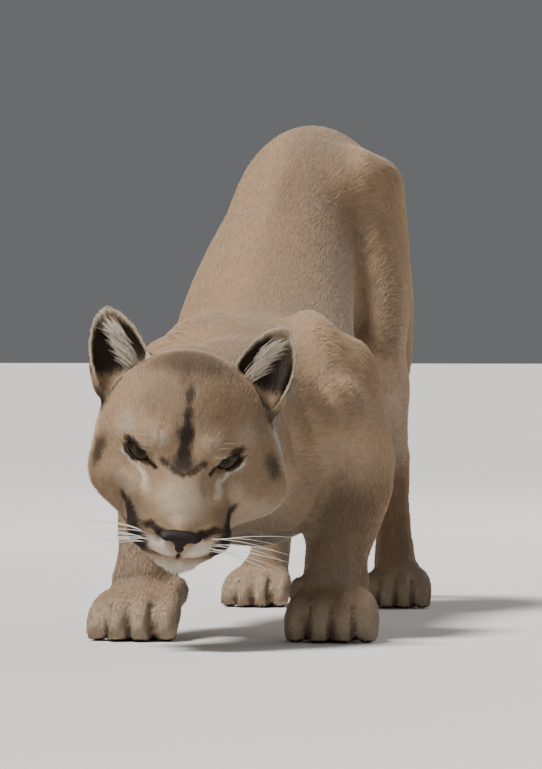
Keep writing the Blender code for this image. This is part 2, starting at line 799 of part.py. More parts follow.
def ear_shell(side):
    """A cupped ear: arcs that narrow to a rounded tip, given a wall. Its foot is sunk in the skull."""
    rows, columns = 10, 12
    bm = bmesh.new()
    grid = []
    for i in range(rows + 1):
        height = (EAR_LENGTH + EAR_ROOT) * math.sin(math.pi / 2 * i / rows) - EAR_ROOT
        v = height / EAR_LENGTH
        narrowing = max(1 - v**1.8, 0.0) ** 0.54 if v > 0 else math.sqrt(1 - (v / 0.45) ** 2)
        radius = EAR_HALF_WIDTH * narrowing + 0.0012
        spread = math.radians(120 - 45 * max(v, 0))
        ring = []
        for j in range(columns + 1):
            turn = spread * (2 * j / columns - 1)
            x = radius * math.sin(turn)
            y = radius * 0.75 * math.cos(turn) + 0.008 * v * abs(v)
            ring.append(bm.verts.new(Vector((x, y, height))))
        grid.append(ring)
    for low, high in zip(grid, grid[1:]):
        for j in range(columns):
            bm.faces.new((low[j], low[j + 1], high[j + 1], high[j]))
    obj = new_object("ear_form", mesh_of(bm, "ear"))
    wall = obj.modifiers.new("wall", "SOLIDIFY")
    wall.thickness = EAR_WALL
    wall.offset = 0
    wall.use_even_offset = True
    lean, roll, yaw = (math.radians(a) for a in EAR_TURN)
    turn = Matrix.Rotation(roll * side, 4, "Y") @ Matrix.Rotation(lean, 4, "X")
    turn = turn @ Matrix.Rotation(yaw * side, 4, "Z")
    place = Matrix.Translation(on_head(EAR_PLACE[0] * side, EAR_PLACE[1], EAR_PLACE[2]))
    made = evaluated_mesh(obj)
    made.transform(head_matrix() @ place @ turn)
    return made


def swollen(mesh, amount):
    """The mesh with its surface moved out by a little."""
    surface = Surface(mesh)
    surface.points += surface.normals() * amount
    surface.store()
    return mesh


def add_face_parts(whole):
    """Cuts the face for its eyes, nose and mouth, and makes those and the ears."""
    head_skin = whole.copy()
    whole = apply_boolean(whole, mouth_groove(whole), "DIFFERENCE")
    philtrum = [head_matrix() @ on_head(0, fwd, up) for fwd, up in PHILTRUM]
    whole = apply_boolean(whole, tube(philtrum, PHILTRUM_RADIUS, "philtrum"), "DIFFERENCE")
    for word, side in (("left", 1), ("right", -1)):
        whole = apply_boolean(whole, eye_slit(side), "DIFFERENCE")
        whole = apply_boolean(whole, eyeball(side, grow=GAP), "DIFFERENCE")
        new_object(f"eye_{word}", eyeball(side))
        ear = apply_boolean(ear_shell(side), swollen(head_skin.copy(), GAP), "DIFFERENCE")
        new_object(f"ear_{word}", ear)
    new_object("nose", apply_boolean(nose_pad(), nostrils(), "DIFFERENCE"))
    return apply_boolean(whole, nose_pad(grow=GAP), "DIFFERENCE")


# Colours, and the last touches.

MATERIALS = {
    "tawny_coat": ((0.42, 0.25, 0.12), 0.85),
    "pale_coat": ((0.66, 0.55, 0.42), 0.85),
    "dark_coat": ((0.06, 0.045, 0.035), 0.85),
    "nose_leather": ((0.20, 0.09, 0.08), 0.45),
    "amber_eye": ((0.30, 0.17, 0.04), 0.08),
}
OWN_MATERIALS = {
    "lower_jaw": "pale_coat",
    "ear_left": "dark_coat",
    "ear_right": "dark_coat",
    "tail_tip": "dark_coat",
    "nose": "nose_leather",
    "eye_left": "amber_eye",
    "eye_right": "amber_eye",
}


def paint():
    """Gives each piece its plain material."""
    made = {}
    for name, (colour, roughness) in MATERIALS.items():
        material = bpy.data.materials.new(name)
        material.use_nodes = True
        shader = material.node_tree.nodes["Principled BSDF"]
        shader.inputs["Base Color"].default_value = (*colour, 1)
        shader.inputs["Roughness"].default_value = roughness
        material.diffuse_color = (*colour, 1)
        made[name] = material
    for obj in bpy.data.objects:
        obj.data.materials.clear()
        obj.data.materials.append(made[OWN_MATERIALS.get(obj.name, "tawny_coat")])


def closed(bm):
    return all(len(edge.link_faces) == 2 for edge in bm.edges)


def tidied(mesh, reach=0.00012):
    """Welds the slivers that cutting leaves, where that keeps the piece closed."""
    bm = bmesh.new()
    bm.from_mesh(mesh)
    bmesh.ops.remove_doubles(bm, verts=bm.verts, dist=reach)
    bmesh.ops.dissolve_degenerate(bm, edges=bm.edges, dist=reach / 2)
    bmesh.ops.triangulate(bm, faces=bm.faces)
    if closed(bm):
        bm.to_mesh(mesh)
    bm.free()


def stand_on_origin():
    """Moves all pieces so that the origin is at the bottom centre of the whole box."""
    points = [vert.co for obj in bpy.data.objects for vert in obj.data.vertices]
    low = Vector([min(p[i] for p in points) for i in range(3)])
    high = Vector([max(p[i] for p in points) for i in range(3)])
    shift = Vector((-(low.x + high.x) / 2, -(low.y + high.y) / 2, -low.z))
    for obj in bpy.data.objects:
        obj.data.transform(Matrix.Translation(shift))
        obj.data.update()
    return shift


def main():
    clear_scene()
    whole = coarser(whole_body(), BODY_TRIANGLES)
    floor = block((0, 0.3, -0.5), (2, 2, 0.5))
    whole = apply_boolean(whole, floor, "DIFFERENCE", own_crossings=True)
    part_body(add_face_parts(whole))
    for obj in bpy.data.objects:
        tidied(obj.data)
    paint()
    return stand_on_origin()


SHIFT = main()
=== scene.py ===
"""The cougar's looks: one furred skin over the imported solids, with its eyes, nose and whiskers.

The body is modelled as the solids were, in the stance frame (metres, Y = 0 between the front paws), but
finer, and then moved to where they stand. The skin lies inside them by the depth of the coat, and the
coat grows from the skin as thin tufts of mesh that lie along the body.
"""

import json
import math

import bmesh
import bpy
import numpy as np
from mathutils import Euler, Matrix, Vector
from mathutils.bvhtree import BVHTree

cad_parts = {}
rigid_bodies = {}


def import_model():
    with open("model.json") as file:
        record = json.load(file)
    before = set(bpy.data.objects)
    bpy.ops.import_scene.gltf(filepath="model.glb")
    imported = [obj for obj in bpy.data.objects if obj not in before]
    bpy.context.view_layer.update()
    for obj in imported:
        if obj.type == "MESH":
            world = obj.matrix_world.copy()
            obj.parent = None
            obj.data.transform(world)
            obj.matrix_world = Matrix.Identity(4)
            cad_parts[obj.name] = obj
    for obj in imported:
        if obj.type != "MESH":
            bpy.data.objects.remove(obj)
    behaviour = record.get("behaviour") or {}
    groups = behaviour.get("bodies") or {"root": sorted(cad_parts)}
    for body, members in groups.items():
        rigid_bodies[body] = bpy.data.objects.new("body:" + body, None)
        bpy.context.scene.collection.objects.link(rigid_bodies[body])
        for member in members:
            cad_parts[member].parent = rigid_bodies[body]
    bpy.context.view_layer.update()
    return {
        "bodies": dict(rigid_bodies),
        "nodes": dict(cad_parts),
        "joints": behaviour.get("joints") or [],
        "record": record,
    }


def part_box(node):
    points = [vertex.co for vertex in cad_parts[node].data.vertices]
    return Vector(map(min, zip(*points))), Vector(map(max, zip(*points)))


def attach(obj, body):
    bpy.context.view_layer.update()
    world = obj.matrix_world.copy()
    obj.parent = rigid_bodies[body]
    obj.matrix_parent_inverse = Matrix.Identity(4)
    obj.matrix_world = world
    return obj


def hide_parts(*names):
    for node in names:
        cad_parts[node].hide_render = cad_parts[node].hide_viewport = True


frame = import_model()

# Main places of the body, in the stance frame.
STRIDE = 0.71
FORE_PAW = Vector((0.0975, 0.0, 0.0))
HIND_PAW = Vector((0.077, STRIDE, 0.0))
# Each paw's place, width, length and turn outwards in degrees.
PAW_SHAPES = ((FORE_PAW, 0.095, 0.118, 4), (HIND_PAW, 0.078, 0.105, 3))
TOE_SHARE = 0.142
TOE_GAPS = (-0.245, 0.0, 0.245)
WITHERS_HEIGHT = 0.325
CROUP_HEIGHT = 0.535
SHOULDER_BLADE = Vector((0.050, 0.170, 0.312))
SHOULDER = Vector((0.086, 0.045, 0.225))
ELBOW = Vector((0.102, 0.175, 0.175))
WRIST = Vector((0.095, 0.040, 0.082))
HIP = Vector((0.050, STRIDE - 0.010, 0.450))
KNEE = Vector((0.070, STRIDE - 0.150, 0.275))
HOCK = Vector((0.062, STRIDE + 0.080, 0.165))
HIND_FETLOCK = Vector((0.071, STRIDE + 0.020, 0.050))

# The tail: (x, y, z, half width, half depth) of its sections from the root to the tip.
TAIL_STATIONS = (
    (0.000, 0.765, 0.476, 0.036, 0.034),
    (0.000, 0.815, 0.452, 0.030, 0.029),
    (-0.002, 0.858, 0.400, 0.0260, 0.0260),
    (-0.006, 0.885, 0.320, 0.0245, 0.0245),
    (-0.012, 0.903, 0.235, 0.0240, 0.0240),
    (-0.020, 0.930, 0.158, 0.0240, 0.0240),
    (-0.032, 0.985, 0.092, 0.0240, 0.0240),
    (-0.045, 1.065, 0.060, 0.0245, 0.0245),
    (-0.055, 1.150, 0.062, 0.0250, 0.0250),
    (-0.060, 1.225, 0.090, 0.0210, 0.0210),
)

# The head, whose frame has its origin midway between the eyes. Places in it are (side, forward, up) in mm.
EYE_LINE = Vector((-0.025, -0.190, 0.192))
HEAD_PITCH = math.radians(34)
HEAD_ROLL = math.radians(6.5)
HEAD_YAW = math.radians(10.5)
MM = 0.001
MUZZLE_BEND = 5.0
MUZZLE_START = 20
MUZZLE_END = 80
EYE_PLACE = (38, -1, 0)
EYE_RADIUS = 18.5
LID_RADIUS = 21.6
EYE_YAW = 20.0
EYE_LIFT = 12.0
EYE_SLANT = 20.0
EYE_OPENING = (19.2, 7.4, 6.2)
NOSE_PLACE = (0, 88.5, -41)
NOSE_HALVES = (23, 9.0, 10.5)
NOSE_TILT = 4.0
MOUTH_LINE = ((0, -61), (8, -63), (16, -67), (26, -69), (35, -67), (42, -62), (48, -58))
EAR_PLACE = (65, -78, 27)
EAR_TURN = (-40, 25.6, -20)
EAR_LENGTH = 0.070
EAR_ROOT = 0.020
EAR_HALF_WIDTH = 0.0285
EAR_WALL = 0.0045
# The powers by which the ear narrows towards its tip, its cup's depth as a share of its width, and how far
# its tip bends back in millimetres.
EAR_TAPER = (1.8, 0.54)
EAR_FLATNESS = 0.75
EAR_SWEEP = 8

# The two sides, and the sign of X on each.
SIDES = (("left", 1), ("right", -1))

# The skin and the coat: how fine they are.
BODY_VOXEL = 0.006
SKIN_VOXEL = 0.0027
BODY_FILL_ROUNDS = 110
BODY_EVEN_ROUNDS = 16
SKIN_FILL_ROUNDS = 20
SKIN_EVEN_ROUNDS = 6
TOE_FILL_ROUNDS = 40
SKIN_TRIANGLES = 140000
UNWRAP_TRIANGLES = 6000
TUFTS = 325000
PIECE_TUFTS = 45000
EAR_HAIRS = 420

# How low the skin and the tufts may lie over the floor.
SKIN_FLOOR = 0.0004
TUFT_FLOOR = 0.0003

# How much the tufts differ in their way, length, width and lift, and in the lean of their shading.
WAY_SPREAD = 0.16
LENGTH_SPREAD = (0.72, 1.18)
WIDTH_SPREAD = (0.75, 1.25)
LIFT_SPREAD = (0.55, 1.45)
LEAN_SPREAD = 0.10

# Where the random draws of the coat, the whiskers and the ears' hair start.
COAT_SEED = 11
WHISKER_SEED = 5
EAR_HAIR_SEED = 9

# The face's shape: the middle, reach and shift of each soft touch, as (side, forward, up) in millimetres.
FACE_PRESSES = (
    # Hollows of the eyes, and the brow over them.
    ((44, 24, -2), (26, 30, 17), (0, -8, 0)),
    ((34, 18, 24), (28, 26, 18), (0, 6, 2)),
    # Cheekbone, and the cheek's fur at the back of the jaw.
    ((60, 8, -28), (28, 30, 24), (3, 6, 0)),
    ((75, -25, -59), (48, 60, 44), (11, 0, -6)),
    # The sides of the nose bridge and of the muzzle behind the whisker pads.
    ((29, 42, -8), (15, 32, 16), (-6, 0, -3)),
    ((52, 31, -42), (22, 22, 30), (-5, -2, 0)),
    # Whisker pads and the lips' corners.
    ((31, 62, -50), (25, 26, 24), (8, 5, 0)),
    ((42, 28, -64), (22, 24, 18), (2, 0, 0)),
    # The lips draw in under the nose; the chin stands out.
    ((0, 77, -63), (34, 20, 12), (0, -3, 0)),
    ((0, 68, -82), (30, 26, 20), (0, 9, -4)),
    # The step from forehead to nose bridge, and the crown's shallow middle furrow.
    ((0, 24, 14), (26, 26, 22), (0, -4, -3)),
    ((0, -30, 70), (14, 60, 30), (0, 0, -2.5)),
)
# The neck's loose fur gathers behind the cheek of the side to which the head is turned.
TURNED_CHEEK = (((84, -25, -48), (60, 80, 80), (17, 0, -5)),)

# The face's folds. Places are (side, forward, up) in millimetres, the same on both sides.
MOUTH_CORNER = ((51, 50, -60), (54, 38, -63), (56, 27, -67))
PHILTRUM = ((97, -50), (95, -54), (92, -58), (88, -62))
TEAR_LINE = ((35, 17, -4), (31, 24, -2), (26, 33, 0))
BROW_FOLD = ((7, 2, 40), (8, 14, 30), (9, 24, 20))
# Each line's width and depth in metres.
MOUTH_GROOVE = (0.0021, 0.0042)
PHILTRUM_GROOVE = (0.0016, 0.0026)
TEAR_GROOVE = (0.0018, 0.0014)
BROW_GROOVE = (0.0030, 0.0012)
# The lids' folds: height over the almond's middle, size, ends in degrees, width and depth.
LID_FOLDS = (
    (5.6, 0.98, (12, 168), 0.0013, 0.0012),
    (3.2, 0.98, (15, 165), 0.0016, -0.0008),
    (-5.4, 0.95, (200, 340), 0.0014, 0.0008),
)
FINE_PRESSES = (
    # The lobes of the upper lip, the wings of the nose and the ridge of the brow over each eye.
    ((20, 86, -54), (16, 18, 13), (1.5, 5.0, -0.5)),
    ((0, 94, -50), (7, 14, 10), (0, -5, 0)),
    ((24, 80, -40), (9, 12, 8), (2, 2.5, 0)),
    ((42, 64, -54), (20, 22, 20), (4, 1, 0)),
    ((38, 14, 15), (24, 12, 6), (0, 3.5, -0.5)),
    ((34, 58, -50), (12, 16, 12), (2.5, 1.0, 0)),
    ((0, 80, -28), (20, 12, 8), (0, 2.0, 0)),
)

# Folds of the loose skin: the path on the left side, in metres of the stance frame, its width and depth.
BODY_FOLDS = (
    (
        ((0.031, 0.625, 0.494), (0.043, 0.600, 0.465), (0.051, 0.592, 0.425), (0.053, 0.572, 0.380)),
        0.013,
        0.006,
    ),
    (((0.093, 0.040, 0.269), (0.106, 0.023, 0.252), (0.113, 0.022, 0.237)), 0.0080, 0.0026),
    (((0.082, 0.014, 0.254), (0.092, 0.011, 0.236), (0.101, 0.009, 0.219)), 0.0080, 0.0026),
    (((0.063, -0.012, 0.254), (0.073, -0.012, 0.230), (0.080, -0.005, 0.208)), 0.0085, 0.0026),
    (((0.060, -0.059, 0.237), (0.065, -0.056, 0.211), (0.067, -0.040, 0.188)), 0.0110, 0.0040),
)

# The nose leather's share of its full width, from its lowest point to its top.
NOSE_TAPER = ((-1.0, -0.8, -0.3, 0.1, 0.5, 1.0), (0.10, 0.18, 0.40, 0.64, 1.02, 1.15))

# Eyes.
CORNEA_RISE = 1.3
EYE_LOOK = (0.14, -0.99, 0.02)
EYE_FOLLOW = 0.55
# The colours from the pupil's middle outwards, over this reach in metres, and how long the rays are drawn.
EYE_RING_REACH = 0.014
EYE_RAYS = (5.0, 180.0, 1.0)
# The iris's own amber is darkened well past its colour as painted shade of the brow and the upper lid.
EYE_RINGS = (
    (0.0, (0.004, 0.003, 0.003, 1)),
    (0.30, (0.004, 0.003, 0.003, 1)),
    (0.34, (0.034, 0.018, 0.007, 1)),
    (0.54, (0.052, 0.027, 0.009, 1)),
    (0.70, (0.026, 0.014, 0.006, 1)),
    (0.78, (0.012, 0.008, 0.006, 1)),
    (1.0, (0.030, 0.018, 0.014, 1)),
)

# Whiskers: (height in the head's frame, how many) of each row, and their lengths in millimetres.
WHISKER_ROWS = ((-43, 3), (-49, 4), (-55, 3))
WHISKER_LENGTHS = (66, 88)
WHISKER_THICKNESS = (0.00046, 0.00062)
BROW_WHISKERS = 2
BROW_WHISKER_LENGTHS = (16, 22)
BROW_WHISKER_THICKNESS = 0.00016

# Colours.
TAWNY_DEEP = (0.36, 0.205, 0.098, 1)
TAWNY_LIGHT = (0.50, 0.315, 0.165, 1)
WARM_GREY = (0.36, 0.27, 0.185, 1)
CREAM = (0.80, 0.72, 0.60, 1)
CREAM_SHADE = (0.52, 0.43, 0.33, 1)
DARK_HAIR = (0.018, 0.012, 0.010, 1)
# The nose leather's own pink-brown, darkened almost to black as painted shade: its front faces down, away
# from the light.
NOSE_DARK_SHADED = (0.008, 0.005, 0.005, 1)
NOSE_ROSE_SHADED = (0.015, 0.009, 0.008, 1)
LID_DARK = (0.008, 0.006, 0.005, 1)
LID_BROWN = (0.030, 0.020, 0.016, 1)
WHISKER_WARM = (0.78, 0.74, 0.68, 1)
WHISKER_WHITE = (0.90, 0.89, 0.86, 1)

# The camera.
CAMERA_TURN = 8.0
CAMERA_DISTANCE = 6.37
CAMERA_ASIDE = 0.034
CAMERA_HEIGHT = 0.34
CAMERA_DOWN = 0.76
CAMERA_FOCUS = 6370
CAMERA_SENSOR = 36
PHOTO_HEIGHT = 769

# The studio. A lamp is (name, place, size, power, colour) and is turned to the animal's middle.
FLOOR_REACH = 27
FLOOR_SHADES = ((0.66, 0.65, 0.63, 1), (0.71, 0.70, 0.68, 1))
BACKDROP = (0.80, 0.82, 0.85)
BACKDROP_STRENGTH = 0.18
KEY_STRENGTH = 5.3
KEY_SOFTNESS = 16
KEY_COLOUR = (1.0, 0.97, 0.93)
KEY_WAY = (0.42, 0.22, -1.00)
LAMP_AIM = (0, 0, 0.2)
LAMPS = (
    ("fill", (1.4, -3.4, 1.1), 0.6, 15, (0.96, 0.98, 1.0)),
    ("rim", (1.2, 3.4, 2.6), 2.0, 60, (1.0, 0.99, 0.97)),
)


def new_object(name, data):
    """An object in the scene: a piece, a lamp, the camera, or a passing one for the modifiers."""
    made = bpy.data.objects.new(name, data)
    bpy.context.scene.collection.objects.link(made)
    return made


def values_of(collection, key, width, kind=np.float32):
    """One property of all the points, edges, corners or triangles, as rows of numbers."""
    found = np.empty(len(collection) * width, kind)
    collection.foreach_get(key, found)
    return found.reshape(-1, width)


def moved(points, matrix):
    """The points taken through the matrix."""
    matrix = np.array(matrix)
    return points @ matrix[:3, :3].T + matrix[:3, 3]


def join_rings(bm, rings, closed_ends=True):
    """Faces from each ring of points to the next, and one over each end."""
    sides = len(rings[0])
    for low, high in zip(rings, rings[1:]):
        for i in range(sides):
            j = (i + 1) % sides
            bm.faces.new((low[i], low[j], high[j], high[i]))
    if closed_ends:
        bm.faces.new(rings[0])
        bm.faces.new(reversed(rings[-1]))


def head_matrix():
    """From the head's frame to the stance frame: pitched nose down, rolled and turned."""
    turn = Matrix.Rotation(HEAD_YAW, 4, "Z") @ Matrix.Rotation(HEAD_ROLL, 4, "Y")
    return Matrix.Translation(EYE_LINE) @ turn @ Matrix.Rotation(HEAD_PITCH, 4, "X")


def muzzle_bend(forward):
    """How far the muzzle is turned to the animal's left at that place along the head, in millimetres."""
    t = np.clip((forward - MUZZLE_START) / (MUZZLE_END - MUZZLE_START), 0, 1)
    return MUZZLE_BEND * t * t * (3 - 2 * t)


def on_head(side, forward, up):
    """A point of the head's frame, given in millimetres."""
    return Vector((side + muzzle_bend(forward), -forward, up)) * MM


def catmull(a, b, c, d, t):
    """The smooth value between b and c."""
    return 0.5 * (2 * b + (c - a) * t + (2 * a - 5 * b + 4 * c - d) * t * t + (3 * b - a - 3 * c + d) * t**3)


def smooth_rows(rows, steps):
    """The rows of numbers, with steps rows from each one to the next along a smooth curve."""
    rows = np.array(rows, float)
    padded = np.vstack([2 * rows[0] - rows[1], rows, 2 * rows[-1] - rows[-2]])
    made = [
        catmull(*padded[i : i + 4], k / steps) for i in range(len(rows) - 1) for k in range(steps)
    ]
    return np.array([*made, rows[-1]])


def loft(bm, stations, frame=None, sides=20, steps=5, upright=False, egg=0.0, mirror=False):
    """A closed form of oval sections along a smooth path.

    A station is (x, y, z, half width, half depth). Width runs across the body. The section stands
    square to the path, or upright. An egg above 0 makes the upper side narrower.
    """
    rows = smooth_rows(stations, steps)
    centres, halves = rows[:, :3], rows[:, 3:]
    along = np.gradient(centres, axis=0)
    along /= np.linalg.norm(along, axis=1)[:, None]
    first, last = halves[0].min(), halves[-1].min()
    caps = [math.radians(a) for a in (82, 60, 35, 14)]
    rings = [(centres[0] - along[0] * first * math.sin(a), along[0], halves[0] * math.cos(a)) for a in caps]
    rings += list(zip(centres, along, halves))
    rings += [
        (centres[-1] + along[-1] * last * math.sin(a), along[-1], halves[-1] * math.cos(a))
        for a in reversed(caps)
    ]
    angles = np.arange(sides) * 2 * math.pi / sides
    for flip in (1, -1) if mirror else (1,):
        verts = []
        for centre, tangent, (wide, deep) in rings:
            across = np.array([1.0, 0.0, 0.0])
            if upright:
                depth = np.array([0.0, 0.0, 1.0])
            else:
                across = across - tangent * tangent[0]
                across /= np.linalg.norm(across)
                depth = np.cross(across, tangent)
            ring = []
            for angle in angles:
                squeeze = 1 - egg * math.cos(angle)
                point = centre + across * wide * math.sin(angle) * squeeze + depth * deep * math.cos(angle)
                point = Vector((point[0] * flip, point[1], point[2]))
                ring.append(bm.verts.new(frame @ point if frame else point))
            verts.append(ring)
        join_rings(bm, verts)


def mass(bm, centre, radii, tilt=(0, 0, 0), frame=None, mirror=False, fineness=3):
    """An ellipsoid of muscle, fat or bone. Tilt is in degrees about X, Y and Z."""
    for flip in (1, -1) if mirror else (1,):
        place = Vector((centre[0] * flip, centre[1], centre[2]))
        angles = [math.radians(a) for a in (tilt[0], tilt[1] * flip, tilt[2] * flip)]
        turn = Euler(angles).to_matrix().to_4x4()
        matrix = Matrix.Translation(place) @ turn @ Matrix.Diagonal((*radii, 1))
        matrix = frame @ matrix if frame else matrix
        bmesh.ops.create_icosphere(bm, subdivisions=fineness, radius=1, matrix=matrix)


def mesh_of(bm, name):
    bmesh.ops.recalc_face_normals(bm, faces=bm.faces)
    mesh = bpy.data.meshes.new(name)
    bm.to_mesh(mesh)
    bm.free()
    return mesh


def evaluated_mesh(obj):
    """The mesh as its modifiers leave it; the object is removed."""
    graph = bpy.context.evaluated_depsgraph_get()
    mesh = bpy.data.meshes.new_from_object(obj.evaluated_get(graph))
    bpy.data.objects.remove(obj)
    return mesh


def fused(mesh, voxel):
    """One closed surface round all the overlapping forms."""
    obj = new_object("forms", mesh)
    remesh = obj.modifiers.new("fuse", "REMESH")
    remesh.mode = "VOXEL"
    remesh.voxel_size = voxel
    return evaluated_mesh(obj)


class Surface:
    """A mesh's points and edges as arrays, for smoothing."""

    def __init__(self, mesh):
        self.mesh = mesh
        self.points = values_of(mesh.vertices, "co", 3).astype(float)
        self.ends = values_of(mesh.edges, "vertices", 2, np.int32)
        self.degree = np.bincount(self.ends.ravel(), minlength=len(self.points))[:, None]

    def pull(self):
        """From each point to the middle of its neighbours."""
        a, b = self.ends.T
        total = np.stack(
            [
                np.bincount(a, self.points[b, k], len(self.points))
                + np.bincount(b, self.points[a, k], len(self.points))
                for k in range(3)
            ],
            axis=1,
        )
        return total / self.degree - self.points

    def store(self):
        self.mesh.vertices.foreach_set("co", self.points.astype(np.float32).ravel())
        self.mesh.update()

    def normals(self):
        self.store()
        return values_of(self.mesh.vertex_normals, "vector", 3).astype(float)


def fill_creases(mesh, rounds, strength=0.6):
    """Moves only hollow places, and only outwards, so that muscles run into each other."""
    surface = Surface(mesh)
    for _ in range(rounds):
        outward = surface.normals()
        pull = surface.pull()
        lift = (pull * outward).sum(axis=1, keepdims=True)
        surface.points += outward * np.maximum(lift, 0) * strength
    surface.store()


def even_out(mesh, rounds, strength=0.5):
    """Takes the small steps off a surface, and swells it back by as much as it shrank."""
    surface = Surface(mesh)
    for _ in range(rounds):
        surface.points += surface.pull() * strength
        surface.points -= surface.pull() * strength * 1.03
    surface.store()


def add_trunk(bm):
    """Rib cage, belly, loins and rump: (y, middle, top, bottom, half width) of upright sections."""
    sections = (
        (0.005, 0.000, 0.285, 0.118, 0.068),
        (0.080, -0.002, 0.314, 0.092, 0.088),
        (0.160, -0.006, WITHERS_HEIGHT, 0.086, 0.098),
        (0.250, -0.014, 0.334, 0.096, 0.103),
        (0.340, -0.024, 0.366, 0.128, 0.103),
        (0.425, -0.033, 0.408, 0.176, 0.099),
        (0.500, -0.034, 0.450, 0.230, 0.089),
        (0.570, -0.030, 0.489, 0.280, 0.079),
        (0.630, -0.025, 0.519, 0.318, 0.080),
        (0.690, -0.017, CROUP_HEIGHT, 0.342, 0.086),
        (0.750, -0.007, 0.522, 0.366, 0.073),
        (0.790, -0.003, 0.492, 0.395, 0.058),
    )
    stations = [(x, y, (top + low) / 2, wide, (top - low) / 2) for y, x, top, low, wide in sections]
    loft(bm, stations, sides=28, upright=True, egg=0.10)
    # The spine's low ridge over the loins, and the hip bones beside it.
    spine = [
        (-0.034, 0.44, 0.388, 0.020, 0.026),
        (-0.030, 0.57, 0.464, 0.020, 0.026),
        (-0.017, 0.69, 0.512, 0.024, 0.022),
    ]
    loft(bm, spine)
    for middle in (0.037, -0.053):
        mass(bm, (middle, 0.650, 0.456), (0.038, 0.066, 0.052), tilt=(22, 0, 0))
    # Breast muscles between the forelegs.
    mass(bm, (0.035, 0.020, 0.160), (0.045, 0.050, 0.060), mirror=True)


def add_neck(bm):
    stations = (
        (0.000, 0.160, 0.218, 0.086, 0.096),
        (-0.004, 0.070, 0.212, 0.088, 0.096),
        (-0.010, -0.010, 0.209, 0.085, 0.093),
        (-0.018, -0.080, 0.206, 0.079, 0.084),
    )
    loft(bm, stations, sides=24, upright=True)


def limb(bm, *stations):
    """One length of a leg, on both sides."""
    loft(bm, stations, mirror=True)


def add_foreleg(bm):
    """Shoulder blade, upper arm and forearm of both sides."""
    x, y, z = SHOULDER_BLADE
    limb(
        bm,
        (x, y, z - 0.022, 0.030, 0.046),
        (x + 0.016, y - 0.050, z - 0.050, 0.038, 0.060),
        (SHOULDER.x - 0.006, SHOULDER.y + 0.010, SHOULDER.z - 0.004, 0.040, 0.050),
    )
    limb(
        bm,
        (*SHOULDER, 0.040, 0.046),
        (0.098, 0.112, 0.200, 0.042, 0.056),
        (*ELBOW, 0.038, 0.042),
    )
    # The triceps fills the corner between the shoulder blade and the elbow.
    mass(bm, (0.088, 0.135, 0.238), (0.044, 0.078, 0.066), tilt=(30, 0, 0), mirror=True)
    limb(
        bm,
        (ELBOW.x, ELBOW.y - 0.008, ELBOW.z - 0.004, 0.038, 0.039),
        (0.101, 0.128, 0.150, 0.041, 0.042),
        (0.098, 0.080, 0.116, 0.037, 0.036),
        (*WRIST, 0.033, 0.029),
        (FORE_PAW.x, 0.022, 0.055, 0.035, 0.028),
    )
    # The point of the elbow.
    mass(bm, (ELBOW.x + 0.002, ELBOW.y + 0.020, ELBOW.z + 0.010), (0.018, 0.022, 0.024), mirror=True)


def add_hindleg(bm):
    """Thigh, shank and hind foot of both sides."""
    limb(
        bm,
        (HIP.x, HIP.y - 0.005, HIP.z + 0.015, 0.036, 0.070),
        (0.058, 0.675, 0.385, 0.037, 0.084),
        (0.066, 0.625, 0.330, 0.034, 0.066),
        (*KNEE, 0.029, 0.042),
    )
    # The hamstrings run from the seat bone down to the shank.
    limb(
        bm,
        (0.040, 0.775, 0.450, 0.026, 0.034),
        (0.056, 0.765, 0.375, 0.030, 0.046),
        (0.066, 0.715, 0.295, 0.028, 0.044),
        (0.070, 0.685, 0.245, 0.022, 0.030),
    )
    limb(
        bm,
        (KNEE.x, KNEE.y + 0.012, KNEE.z - 0.010, 0.029, 0.040),
        (0.070, 0.640, 0.246, 0.029, 0.042),
        (0.066, 0.710, 0.210, 0.023, 0.030),
        (HOCK.x, HOCK.y - 0.014, HOCK.z + 0.004, 0.019, 0.022),
    )
    # The tendon over the heel, and the heel bone.
    limb(
        bm,
        (0.065, 0.710, 0.240, 0.012, 0.014),
        (HOCK.x, HOCK.y + 0.008, HOCK.z + 0.022, 0.012, 0.014),
    )
    mass(bm, HOCK, (0.020, 0.024, 0.028), tilt=(25, 0, 0), mirror=True)
    limb(
        bm,
        (*HOCK, 0.020, 0.023),
        (0.065, 0.767, 0.108, 0.019, 0.020),
        (*HIND_FETLOCK, 0.024, 0.021),
        (HIND_PAW.x, HIND_PAW.y + 0.002, 0.034, 0.028, 0.020),
    )


def paw_matrix(place, yaw, side):
    """From a paw's own frame, with its toes to -Y, to the stance frame."""
    turn = Matrix.Rotation(math.radians(yaw * side), 4, "Z")
    return Matrix.Translation((place.x * side, place.y, 0)) @ turn


def add_paw(bm, width, length, frame):
    """Four toes, the knuckles over them and the pad under the palm, on one foot."""
    toe = width * TOE_SHARE
    mass(bm, (0, length * 0.10, toe * 2.5), (width * 0.41, length * 0.34, toe * 2.1), frame=frame)
    mass(bm, (0, length * 0.16, toe * 1.0), (width * 0.34, length * 0.26, toe * 1.35), frame=frame)
    mass(bm, (0, -length * 0.17, toe * 0.82), (width * 0.37, length * 0.28, toe * 0.80), frame=frame)
    spread = (-0.355, -0.125, 0.125, 0.355)
    reach = (-0.30, -0.42, -0.43, -0.33)
    for across, ahead in zip(spread, reach):
        x = across * width
        y = ahead * length
        loft(
            bm,
            [
                (x * 0.80, y + length * 0.36, toe * 2.9, toe * 0.95, toe * 1.1),
                (x * 0.95, y + length * 0.20, toe * 2.45, toe, toe * 1.15),
                (x * 1.02, y + length * 0.06, toe * 1.75, toe * 1.02, toe * 1.12),
                (x * 1.04, y - length * 0.02, toe * 0.88, toe * 0.92, toe * 0.98),
            ],
            frame=frame,
            sides=14,
            steps=4,
        )


def add_paws(bm):
    for side in (1, -1):
        for place, width, length, yaw in PAW_SHAPES:
            add_paw(bm, width, length, paw_matrix(place, yaw, side))
        # The dewclaw's pad, on the inner side of the wrist.
        mass(bm, (side * (FORE_PAW.x - 0.036), 0.012, 0.048), (0.011, 0.014, 0.016))


def scaled(rows):
    return [[value * MM for value in row] for row in rows]


